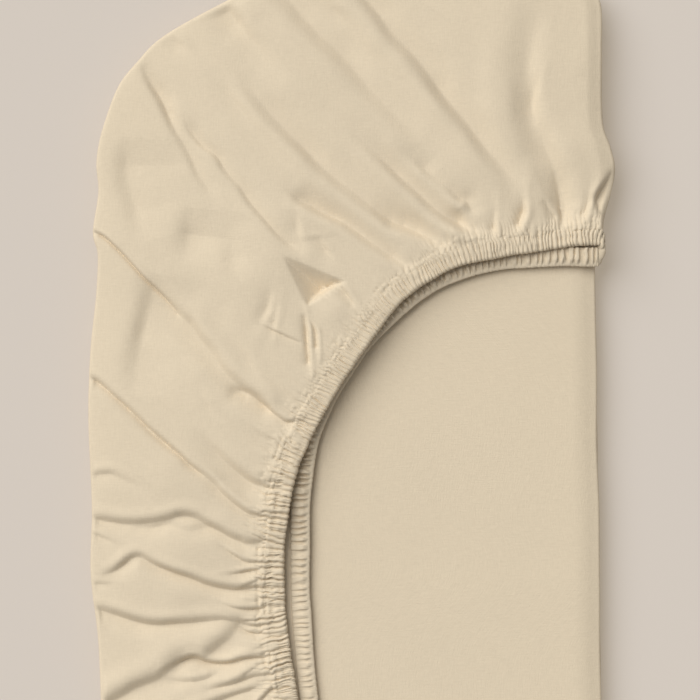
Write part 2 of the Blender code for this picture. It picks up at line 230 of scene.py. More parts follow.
def gridPiece(name, points, uv, loopAcross=False, capEnds=False, thick=None, flip=False, keep=None):
    # a mesh of four-sided faces between neighbours in a grid of rows x columns points, in millimetres.
    # uv is the cloth's own grain, in metres. keep is the share of the triangles that stays, where the
    # cloth bends most
    rows, columns = points.shape[:2]
    number = np.arange(rows * columns).reshape(rows, columns)
    if loopAcross:
        number = np.column_stack([number, number[:, :1]])
    quads = np.stack([number[:-1, :-1], number[:-1, 1:], number[1:, 1:], number[1:, :-1]], axis=-1)
    faces = quads.reshape(-1, 4).tolist()
    if capEnds:
        faces += [number[0, :columns][::-1].tolist(), number[-1, :columns].tolist()]
    if flip:
        faces = [face[::-1] for face in faces]
    mesh = bpy.data.meshes.new(name)
    mesh.from_pydata((points.reshape(-1, 3) * mm).tolist(), [], faces)
    corners = np.empty(len(mesh.loops), np.int32)
    mesh.loops.foreach_get("vertex_index", corners)
    layer = mesh.uv_layers.new(name="grain")
    layer.data.foreach_set("uv", uv.reshape(-1, 2)[corners].astype(np.float32).ravel())
    mesh.shade_smooth()
    piece = bpy.data.objects.new(name, mesh)
    bpy.context.scene.collection.objects.link(piece)
    if keep:
        fewer = piece.modifiers.new("fewer", "DECIMATE")
        fewer.ratio = keep
    if thick:
        wall = piece.modifiers.new("thickness", "SOLIDIFY")
        wall.thickness = thick * mm
        wall.offset = 0
        wall.use_rim = True
    if keep:
        settle(piece)
    return piece


def dress(piece, material):
    # what every piece of the sheet has in common
    piece.data.materials.append(material)
    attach(piece, "root")
    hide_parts("fitted_sheet")


upperLine = smoothCurve(hem["upper"])
underLine = smoothCurve(hem["under"])
upperRibs = round(lineLength(upperLine) / hem["ribPitch"])
underRibs = round(lineLength(underLine) / hem["ribPitch"])


def gathers(place, seed, softness=0.55):
    # round crests, a power of a sine, with a narrow valley near each whole number of place. Width,
    # depth and height are uneven
    warped = place + uneven["place"] * softLine(place, 1.0, seed)
    warped = warped + uneven["widePlace"] * softLine(place, uneven["wideRibs"], seed + 1)
    depth = 1 - uneven["depth"] * (1 - softLine(np.round(warped), 1.0, seed + 3))
    crest = 1 - depth * (1 - np.abs(np.sin(math.pi * warped)) ** softness)
    return crest * (1 - uneven["height"] * (1 - softLine(warped, 1.0, seed + 2)))


def ribCrest(rib, wide):
    # the casing's ribs, which lean and stray on their way across it and on into the skirt, and split
    # here and there. Round the corner there are more of them
    seed = hem["seed"]
    rib = rib + hem["cornerExtra"] * np.clip(rib / upperRibs - hem["cornerStart"], 0, 1) * upperRibs
    across = np.clip(wide, 0, hem["leanReach"]) - hem["leanMiddle"]
    lean = hem["lean"] * across * softLine(rib, hem["leanRibs"], seed + 5)
    stray = sum(far * softField(rib, wide, size, seed + 6 + k) for k, (far, size) in enumerate(hem["strays"]))
    place = rib + lean + stray
    patch = ramp(softField(rib, wide, hem["splitPatch"], seed + 9), *hem["splitFrom"])
    return gathers(place, seed) - hem["split"] * patch * (1 - gathers(2 * place + 0.5, seed + 20))


def ribStrength(rib):
    # between the shares given in hem, by straight lines
    return np.interp(rib / upperRibs, *zip(*hem["ribStrengths"]))


meanCrest = float(ribCrest(np.arange(0, upperRibs, 0.07)[:, None], np.arange(0, 12, 0.5)[None]).mean())


def cornerLift(shares):
    # a bell about the corner
    return hem["cornerLift"] * bell(shares - hem["cornerLiftAt"], hem["cornerLiftReach"])


def upperRise(shares):
    # height of the upper band above the panel, less a smooth step towards each of its ends
    right, rightEnd, frontStart, front = hem["endFallShares"]
    atRight, atFront = hem["endFall"]
    falls = atRight * (1 - ramp(shares, right, rightEnd)) + atFront * ramp(shares, frontStart, front)
    return hem["upperRise"] - falls


def addNode(tree, kind, **settings):
    # a node with its settings; inputs gives for each socket a value, or the socket that feeds it
    node = tree.nodes.new(kind)
    for key, value in settings.items():
        if key == "inputs":
            for socket, content in value.items():
                if isinstance(content, bpy.types.NodeSocket):
                    tree.links.new(content, node.inputs[socket])
                else:
                    node.inputs[socket].default_value = content
        else:
            setattr(node, key, value)
    return node


def maths(tree, operation, *values, clamp=False):
    # the result of one Math node
    return addNode(
        tree, "ShaderNodeMath", operation=operation, use_clamp=clamp, inputs=dict(enumerate(values))
    ).outputs[0]


def makeWeave():
    # plain weave: a thread across and a thread along take turns to lie on top, cell by cell. Slubs are
    # long thin streaks of thicker yarn along both
    group = bpy.data.node_groups.new("plainWeave", "ShaderNodeTree")
    for name, start in (("Thread Pitch", 0.0004), ("Slub Length", 0.006), ("Slub Width", 0.0007)):
        socket = group.interface.new_socket(name=name, in_out="INPUT", socket_type="NodeSocketFloat")
        socket.default_value = start
    for name in ("Height", "Shade"):
        group.interface.new_socket(name=name, in_out="OUTPUT", socket_type="NodeSocketFloat")
    given = group.nodes.new("NodeGroupInput").outputs
    result = group.nodes.new("NodeGroupOutput")
    grain = addNode(group, "ShaderNodeUVMap", uv_map="grain").outputs[0]
    apart = addNode(group, "ShaderNodeSeparateXYZ", inputs={0: grain})
    turn = maths(group, "DIVIDE", math.pi, given["Thread Pitch"])
    across = maths(group, "SINE", maths(group, "MULTIPLY", apart.outputs[0], turn))
    along = maths(group, "SINE", maths(group, "MULTIPLY", apart.outputs[1], turn))
    over = maths(group, "MULTIPLY_ADD", maths(group, "MULTIPLY", across, along), 2.0, 0.5, clamp=True)
    warp = maths(group, "MULTIPLY", maths(group, "ABSOLUTE", across), over)
    weft = maths(group, "MULTIPLY", maths(group, "ABSOLUTE", along), maths(group, "SUBTRACT", 1.0, over))
    threads = maths(group, "ADD", warp, weft)
    streaks = []
    for wide, long in ((0, 1), (1, 0)):
        stretch = addNode(group, "ShaderNodeCombineXYZ")
        sizes = (given["Slub Length"], given["Slub Width"])
        group.links.new(maths(group, "DIVIDE", apart.outputs[0], sizes[wide]), stretch.inputs[0])
        group.links.new(maths(group, "DIVIDE", apart.outputs[1], sizes[long]), stretch.inputs[1])
        noise = addNode(group, "ShaderNodeTexNoise", noise_dimensions="2D", inputs={
            "Vector": stretch.outputs[0], "Scale": 1.0, "Detail": 2.0, "Roughness": 0.6,
        })
        streaks.append(noise.outputs[0])
    slub = maths(group, "ADD", *streaks)
    group.links.new(maths(group, "MULTIPLY_ADD", threads, 0.5, slub), result.inputs["Height"])
    fromMiddle = maths(group, "SUBTRACT", threads, 0.5)
    shade = maths(group, "MULTIPLY_ADD", fromMiddle, 0.25, maths(group, "SUBTRACT", slub, 1.0))
    group.links.new(shade, result.inputs["Shade"])
    return group


def makeClouds():
    # wide soft differences of tone, as on washed cotton
    group = bpy.data.node_groups.new("washedTone", "ShaderNodeTree")
    socket = group.interface.new_socket(name="Size", in_out="INPUT", socket_type="NodeSocketFloat")
    socket.default_value = 0.05
    group.interface.new_socket(name="Tone", in_out="OUTPUT", socket_type="NodeSocketFloat")
    given = group.nodes.new("NodeGroupInput").outputs
    result = group.nodes.new("NodeGroupOutput")
    place = addNode(group, "ShaderNodeTexCoord").outputs["Object"]
    scale = maths(group, "DIVIDE", 1.0, given["Size"])
    noise = addNode(group, "ShaderNodeTexNoise", inputs={
        "Vector": place, "Scale": scale, "Detail": 3.0, "Roughness": 0.55,
    })
    group.links.new(maths(group, "SUBTRACT", noise.outputs[0], 0.5), result.inputs["Tone"])
    return group


cotton = dict(
    colour=(0.724, 0.610, 0.446, 1.0),
    roughness=0.88,
    weaveTone=0.09,  # how far threads and slubs change the colour
    washTone=0.05,
    bumpDepth=0.00009,
    threadPitch=0.00042,
    # below 1, painted shade that darkens the whole colour
    shadeTint=1.0,
    shine=0.2,
    sheen=0.12,
    sheenRoughness=0.5,
)
# painted shade: the bands' cloth is the same cotton with its colour made 1.5 % darker, and finer bumps
bandBumpAndShade = dict(cotton, bumpDepth=0.00006, shadeTint=0.985)


def makeCotton(name, weave, clouds, settings):
    # the colour times a tone near 1: the shade tint, below 1 where shade is painted into the colour, changed
    # by the weave and the washed patches; and the weave's own bumps
    material = bpy.data.materials.new(name)
    material.use_nodes = True
    tree = material.node_tree
    finish = tree.nodes["Principled BSDF"]
    pitch = {"Thread Pitch": settings["threadPitch"]}
    threads = addNode(tree, "ShaderNodeGroup", node_tree=weave, inputs=pitch)
    wash = addNode(tree, "ShaderNodeGroup", node_tree=clouds)
    washed = maths(tree, "MULTIPLY_ADD", wash.outputs["Tone"], settings["washTone"], settings["shadeTint"])
    tone = maths(tree, "MULTIPLY_ADD", threads.outputs["Shade"], settings["weaveTone"], washed)
    red, green, blue, _ = settings["colour"]
    colour = addNode(tree, "ShaderNodeCombineColor", inputs={
        0: maths(tree, "MULTIPLY", tone, red),
        1: maths(tree, "MULTIPLY", tone, green),
        2: maths(tree, "MULTIPLY", tone, blue),
    })
    tree.links.new(colour.outputs[0], finish.inputs["Base Color"])
    bump = addNode(tree, "ShaderNodeBump", inputs={
        "Height": threads.outputs["Height"], "Distance": settings["bumpDepth"], "Strength": 1.0,
    })
    tree.links.new(bump.outputs[0], finish.inputs["Normal"])
    finish.inputs["Roughness"].default_value = settings["roughness"]
    finish.inputs["Specular IOR Level"].default_value = settings["shine"]
    finish.inputs["Sheen Weight"].default_value = settings["sheen"]
    finish.inputs["Sheen Roughness"].default_value = settings["sheenRoughness"]
    return material


weaveGroup = makeWeave()
cloudGroup = makeClouds()
clothCotton = makeCotton("sandCotton", weaveGroup, cloudGroup, cotton)
shadedBandCotton = makeCotton("gatheredCottonShaded", weaveGroup, cloudGroup, bandBumpAndShade)
print("cotton made")


# the stack: seven folded layers and the panel, as one back-and-forth sheet
stack = dict(
    layers=8,
    bottomHeight=0.62,
    thick=1.2,
    rows=120,
    columns=(14, 14, 14, 14, 14, 14, 14, 64),
    foldSteps=8,
    # how far each fold lies outside the panel's own edge, from the bottom up, right and left by turns
    foldOut=(-0.5, -0.9, -1.2, -0.3, -0.2, -1.1, 0.0),
    freeEdgeOut=-1.6,
    ends=((1.2, 1.5), (0.4, 0.8), (0.9, 1.6), (0.3, 0.5), (1.0, 1.1), (0.2, 1.8), (0.7, 0.9), (0.0, 0.4)),
    rightFrontX=137.1,
    rightBackX=131.0,
    cornerShare=0.33,  # of the outline, where the left folds give way to the back ends
    panelIn=7.0,  # the panel stops this far inside the pocket's turned edge, under its lap
    length=400.0,
    rightWander=(0.45, 38.0),  # how far the folds stray, and over what distance
    leftWander=(0.35, 31.0),
    wave=(0.22, 46.0),  # how uneven a layer is, and over what distance
    bow=(0.14, 170.0),  # the same for all layers together
    calmEdge=0.06,  # share of a layer's width over which it is even beside its folds
    rightTaper=0.33,  # how much closer the layers lie at their right folds, each to the next
    rightTaperWide=9.0,
    rightTaperPower=1.2,
    seed=11,
)

outlineLine = smoothCurve(packet["outline"])
outlineStep = 0.02  # share of the outline over which its direction is taken
turnReach = packet["turnOut"] + packet["clothThick"] / 2
edgeLine = outlineLine + leftNormals(outlineLine, np.linspace(0, 1, len(outlineLine))) * turnReach


def insetOutline(shares, inside):
    # the outline, brought this far inside along its normals
    return atShares(edgeLine, shares) + leftNormals(edgeLine, shares, outlineStep) * (inside - turnReach)


def layerPatch(index, across, along):
    # a Coons patch: the blend of its front and back lines, plus that of its left and right lines, less
    # the blend of its four corners
    front, back = stack["ends"][index]
    frontY = packet["frontY"] + front
    backY = packet["outline"][0][1] - turnReach - back
    fromFront = along * stack["length"]
    stray, size = stack["rightWander"]
    wander = stray * softLine(fromFront, size, stack["seed"] + index // 2)
    if index == stack["layers"] - 1:
        inside = np.full(along.shape, turnReach + stack["panelIn"])
    else:
        leftFold = (index + 1) // 2
        leftOut = (stack["freeEdgeOut"], *stack["foldOut"][1::2])[leftFold]
        stray, size = stack["leftWander"]
        inside = turnReach - leftOut + stray * softLine(fromFront, size, stack["seed"] + 20 + leftFold)
    left = insetOutline(1 - (1 - stack["cornerShare"]) * along, inside[:, None])
    turnBack = stack["rightBackX"] - stack["rightFrontX"]
    rightX = stack["rightFrontX"] + turnBack * along + stack["foldOut"][0::2][index // 2] + wander
    right = np.stack([rightX, frontY + (backY - frontY) * along], axis=-1)
    backLine = insetOutline(stack["cornerShare"] * (1 - across), turnReach + back)
    frontX = left[0, 0] + (right[0, 0] - left[0, 0]) * across
    frontLine = np.stack([frontX, np.full(len(across), frontY)], axis=-1)
    left[:, 1] = np.maximum(left[:, 1], frontY)
    # the back line is moved to meet the ends of the other two
    backLine += (1 - across[:, None]) * (left[-1] - backLine[0])
    backLine += across[:, None] * (right[-1] - backLine[-1])
    u, v = across[None, :, None], along[:, None, None]
    corners = (1 - v) * ((1 - u) * left[0] + u * right[0]) + v * ((1 - u) * left[-1] + u * right[-1])
    sides = (1 - u) * left[:, None] + u * right[:, None]
    return (1 - v) * frontLine[None] + v * backLine[None] + sides - corners


def foldBetween(low, high, pitch):
    # half a turn from the last column of one layer to the first of the next
    angle = math.pi * np.arange(1, stack["foldSteps"]) / stack["foldSteps"]
    way = low[:, -1] - low[:, -2]
    way[:, 2] = 0
    way /= np.linalg.norm(way, axis=1, keepdims=True)
    rise = (1 - np.cos(angle))[None, :, None] / 2
    reach = pitch / 2 * np.sin(angle)[None, :, None]
    return low[:, -1:] * (1 - rise) + high[:, :1] * rise + way[:, None] * reach


def makeStack():
    # each layer is its patch at its own height, a little uneven and lower towards its right fold. The
    # even ones run from left to right and the odd ones back, with a fold between each and the next
    along = np.linspace(0, 1, stack["rows"])
    pitch = (packet["panelHeight"] - stack["bottomHeight"]) / (stack["layers"] - 1)
    seed = stack["seed"]
    sheet = []
    for index in range(stack["layers"]):
        across = np.linspace(0, 1, stack["columns"][index])
        flat = layerPatch(index, across, along)
        x, y = flat[..., 0], flat[..., 1]
        nearRight = np.clip(1 - (flat[:, -1:, 0] - x) / stack["rightTaperWide"], 0, 1)
        height = stack["bottomHeight"] + index * pitch
        height = height - stack["rightTaper"] * index * nearRight ** stack["rightTaperPower"]
        if index:
            calm = ramp(across, 0, stack["calmEdge"]) * ramp(1 - across, 0, stack["calmEdge"])
            high, size = stack["wave"]
            height += high * softField(x, y, size, seed + 40 + index) * calm
            high, size = stack["bow"]
            height += high * softField(x, y, size, seed + 60)
        layer = np.dstack([flat, height])
        if index % 2:
            layer = layer[:, ::-1]
        if sheet:
            sheet.append(foldBetween(sheet[-1], layer, pitch))
        sheet.append(layer)
    points = np.concatenate(sheet, axis=1)
    run = np.cumsum(np.linalg.norm(np.diff(points, axis=1, prepend=points[:, :1]), axis=2), axis=1)
    uv = np.dstack([run, points[..., 1]]) * mm
    return gridPiece("baseStack", points, uv, thick=stack["thick"])


baseStack = makeStack()
print("stack made:", len(baseStack.data.polygons), "faces")


# the bands: one flat ribbed tube, along the upper hem, round the right fold and back along the under hem.
# The under band's ribs are its own in part, and beneath the upper band its valleys open out into wedges
underBand = dict(
    start=(1, 5),  # ribs past the upper band's end over which it takes on its own form
    pitch=0.86,  # its ribs to a rib pitch
    stray=(0.12, 2.0),
    ownShare=0.7,  # of its ribs' form, the rest being the upper band's
    relief=(0.4, 1.3),  # how far they stand out at its inner edge, and further across
    reliefAcross=(0.6, 2.0),
    open=(0.45, 1.6),  # how widely its valleys open at its inner edge, and beneath the upper band
    openAcross=(0.9, 4.0),
    wedge=5.0,  # how deep they sink at most
    wedgeAcross=(0.9, 2.6),
    wedgeBelow=(0.55, 0.8),  # height of the crests below which they do, at its inner edge and beneath
    wedgeSlope=0.35,
    clearance=0.15,  # left between them and the panel
)


def bandPath():
    # the path of the inner edge and, at each point, the level way across the band, for every column of
    # ribs
    per = hem["columnsPerRib"]
    upperShares = np.linspace(1, 0, upperRibs * per + 1)
    underShares = np.linspace(0, 1, underRibs * per + 1)
    places, acrosses = [], []
    for line, shares, isUnder in ((upperLine, upperShares, False), (underLine, underShares, True)):
        flat = atShares(line, shares)
        across = -leftNormals(line, shares)
        atRight = ramp(shares, 0, hem["squareEnds"])[:, None]
        across = across * atRight + np.array((0.0, 1.0)) * (1 - atRight)
        atFront = ramp(1 - shares, 0, hem["squareEnds"])[:, None]
        across = across * atFront + np.array((-1.0, 0.0)) * (1 - atFront)
        across /= np.linalg.norm(across, axis=1, keepdims=True)
        height = packet["panelHeight"] + cornerLift(shares) * (hem["underLift"] if isUnder else 1)
        tilt = np.zeros(len(flat))
        if isUnder:
            frontward = ramp(shares, *hem["underFrontShares"])
            height += hem["underRise"] + (hem["underFrontRise"] - hem["underRise"]) * frontward
            tilt = hem["underTilt"] * ramp(shares, *hem["underTiltShares"])
        else:
            height += upperRise(shares)
        places.append(np.column_stack([flat, height]))
        acrosses.append(np.column_stack([across, -tilt]))
    # half a turn from the upper band's start down to the under band's
    top, bottom = places[0][-1], places[1][0]
    steps = hem["turnRibs"] * per + 1
    angle = math.pi * np.arange(1, steps) / steps
    down = ((1 - np.cos(angle)) / 2)[:, None]
    turn = top * (1 - down) + bottom * down
    turn[:, 0] += (top[2] - bottom[2]) / 2 * np.sin(angle)
    turnAcross = np.tile((0.0, 1.0, 0.0), (len(turn), 1))
    return np.vstack([places[0], turn, places[1]]), np.vstack([acrosses[0], turnAcross, acrosses[1]])


def bandCrests(rib, wide):
    # the ribs' crests on the upper band and round the fold, and those of the under band, with how much
    # of a place belongs to the under band and how far it lies beneath the upper one
    crest = meanCrest + (ribCrest(rib, wide) - meanCrest) * ribStrength(rib)
    first, last = underBand["start"]
    isUnder = ramp(rib, upperRibs + first, upperRibs + last)
    beneath = ramp(wide, *underBand["openAcross"])
    far, size = underBand["stray"]
    place = underBand["pitch"] * rib + far * softField(rib, wide, size, hem["seed"] + 31)
    narrow, broad = underBand["open"]
    own = gathers(place, hem["seed"] + 30, narrow + (broad - narrow) * beneath)
    least, most = underBand["relief"]
    own = meanCrest + (own - meanCrest) * (least + (most - least) * ramp(wide, *underBand["reliefAcross"]))
    own = (1 - underBand["ownShare"]) * crest + underBand["ownShare"] * own
    return crest * (1 - isUnder) + own * isUnder, isUnder, beneath


def makeBands():
    # at each column of the path a section runs from the inner edge over the top to the stitching and back
    # underneath: half its thickness to either side, with the ribs' crests added and both edges rounded
    path, across = bandPath()
    forward = np.gradient(path, axis=0)
    forward /= np.linalg.norm(forward, axis=1, keepdims=True)
    up = np.cross(forward, across)
    up /= np.linalg.norm(up, axis=1, keepdims=True)
    rib = (np.arange(len(path)) / hem["columnsPerRib"])[:, None]
    half = hem["sectionPoints"] // 2
    share = (1 - np.cos(math.pi * np.arange(half + 1) / half)) / 2
    wide = np.concatenate([share, share[-2:0:-1]])[None] * hem["wide"]
    face = np.concatenate([np.ones(half + 1), -np.ones(half - 1)])[None]
    face[:, [0, half]] = 0
    crest, isUnder, beneath = bandCrests(rib, wide)
    # both edges are quarter rounds, the inner one the larger
    roundIn = np.sqrt(1 - (1 - np.clip(wide / hem["edgeRound"], 0, 1)) ** 2)
    roundOut = np.sqrt(1 - (1 - np.clip((hem["wide"] - wide) / hem["stitchRound"], 0, 1)) ** 2)
    relief = np.where(face > 0, 1.0, hem["underRelief"]) * hem["ribHeight"] * crest
    halfThick = roundIn * roundOut * (hem["flatHalf"] + relief) * np.abs(face)
    # the wedges sink as far as the room above the panel lets them
    room = path[:, 2:] + across[:, 2:] * wide - packet["panelHeight"] - stack["thick"] / 2 - hem["flatHalf"]
    room = np.maximum(room - hem["underRelief"] * hem["ribHeight"] * crest - underBand["clearance"], 0)
    atEdge, within = underBand["wedgeBelow"]
    below = ramp(atEdge + (within - atEdge) * beneath - crest, 0, underBand["wedgeSlope"])
    sag = isUnder * ramp(wide, *underBand["wedgeAcross"]) * below * np.minimum(underBand["wedge"], room)
    # the pocket's creases run on into the upper casing
    place = path[:, None, :2] + across[:, None, :2] * wide[..., None]
    crossed = hem["creaseShare"] * creaseHeight(place[..., 0], place[..., 1]) * (face > 0) * (1 - isUnder)
    crossed *= ramp(wide, *hem["creaseAcross"]) * roundOut
    halfThick += np.maximum(crossed, -hem["creaseLimit"] * halfThick)
    outwards, reach = hem["scallop"]
    inward = -outwards * crest * bell(wide, reach)
    far, ribs, reach = hem["edgeWander"]
    inward += far * softLine(rib, ribs, hem["seed"] + 8) * bell(wide, reach)
    points = (path[:, None] + across[:, None] * (wide + inward)[..., None]
              + up[:, None] * (halfThick * np.sign(face) - sag)[..., None])
    around = np.cumsum(np.linalg.norm(np.diff(points, axis=1, prepend=points[:, :1]), axis=2), axis=1)
    uv = np.dstack([np.broadcast_to(rib * hem["clothPerRib"], around.shape), around]) * mm
    return gridPiece("hemBands", points, uv, loopAcross=True, capEnds=True)


# the pocket: its upper skirt with its folds, its turned edge and its right fold
pocket = dict(
    columnsPerRib=8,
    # rows by their distance from the stitching, the first ones inside the casing
    pleatRows=(
        -4.4, -3.6, -2.9, -2.3, -1.8, -1.3, -0.8, -0.3, 0.2, 0.7, 1.2, 1.7, 2.2, 2.8, 3.4, 4.0, 4.7, 5.4, 6.2,
        7.0, 7.9, 8.8, 9.8, 10.9, 12.1, 13.4,
    ),
    # distance from the stitching, and how far the skirt stands above the casing there
    overlap=((-4.4, -1.1), (-2.4, -0.4), (-0.8, 0.0), (1.0, 0.12)),
    skirtRows=128,
    rowCrowding=1.25,  # how much closer the rows lie near the hem
    keepTriangles=0.28,
    crown=2.0,
    leastRise=3.0,  # its lowest place above the panel's middle, clear of the under skirt
    leastUneven=(0.3, 6.0),
    # how uneven it is, over what distance, and how far from the stitching that starts and is full
    unevenness=((0.35, 31.0), (0.06, 11.0)),
    unevenFrom=(4.0, 25.0),
    creaseAtHem=0.5,  # share of a crease's depth at the stitching
    creaseStart=6.0,  # and how far from it the crease is as deep as given
    edgeCalm=0.5,  # share of all folds that reaches the turned edge
    edgeCalmFrom=0.95,
    # the turned edge
    turnSteps=9,
    turnReturn=(5.0, 13.0),  # how far the cloth goes back in under it
    turnStep=0.012,
    turnFront=0.985,  # from this share of the hem on, the edge turns towards the front end no more
    # the right fold
    rightFoldSteps=10,
    rightReturn=(3.0, 7.0, 12.0),
    rightFoldMore=0.35,  # its radius, over half the height between the bands
    rightDrop=2.2,  # how far the cloth comes down over the last millimetres before it
    rightDropWide=6.5,
    rightDropPower=1.15,
    rightLow=2.2,  # and over a wider strip
    rightLowWide=60.0,
    rightLowFrom=(2.0, 20.0),
    slipReach=22.0,  # how far from the hem the fold slants towards the front
    undersideRise=0.95,  # the cloth that goes back in lies this far above the panel's middle
    rightUndersideMore=1.3,  # and so much higher in the right fold
    # the right edge, from the end of the hem's pleats to the back
    rightEdge=(
        (136.6, 67.6), (137.6, 78.0), (141.4, 90.0), (143.5, 102.0), (141.2, 113.0), (137.3, 124.0),
        (136.3, 140.0), (136.3, 165.0), (136.0, 190.0), (131.6, 200.6),
    ),
    rightEdgeReach=0.13,
    frontReach=0.06,
    # how the columns fan out: share of the hem's length, share of the outline's
    fan=(
        (0.0, 0.0), (0.09, 0.17), (0.21, 0.31), (0.37, 0.41), (0.54, 0.57), (0.70, 0.72), (0.83, 0.87),
        (1.0, 1.0),
    ),
    bowHem=0.75,  # how strongly a column leaves the hem square to it, and reaches the outline so
    bowEdge=0.45,
    seed=21,
)

# how the casing's ribs run on past its stitching, and merge into fewer and broader folds
pleats = dict(
    reach=(7.5, 3.5, 1.1),  # how far they run, how uneven that is, and over how many ribs
    fade=1.8,
    # ribs to a fold; its height and softness, and the level it is counted from; how far it strays, over
    # how many ribs; where it starts and ends beyond the stitching; how uneven its height is, over how
    # many ribs; and the seeds of these
    folds=(
        dict(ribs=2.1, high=1.25, softness=0.7, level=0.7, stray=(0.25, 6), start=3.5, end=15,
             uneven=(0.35, 4), seeds=(1, 2, 7)),
        dict(ribs=4.7, high=1.6, softness=0.9, level=0.65, stray=(0.3, 12), start=8, end=34,
             uneven=(0.4, 11), seeds=(3, 4, 8)),
    ),
    foldFade=1.3,
    swell=dict(high=0.9, ribs=9.5, start=14, end=80, fade=1.5),
)

# what all creases share
creasing = dict(
    scale=1.3,  # of all their depths and rolls
    far=2.5,  # how much wider a crease is beyond its bottom than on the side of its roll
    rollAway=2.0,  # the roll's middle and its width, in widths of the crease
    rollWide=1.5,
    reach=(3.0, 5.0),  # how far a crease is worked out: widths, and millimetres more
    fadeFrom=0.6,
    uneven=(0.15, 12.0),  # share by which depth and width change, and over what distance
    keenRound=0.1,  # in widths, of the keenest bottoms
    middle=(351, 352),  # the photo's pixel over x = 0, y = 0
    pixel=0.55,  # millimetres to a pixel
)
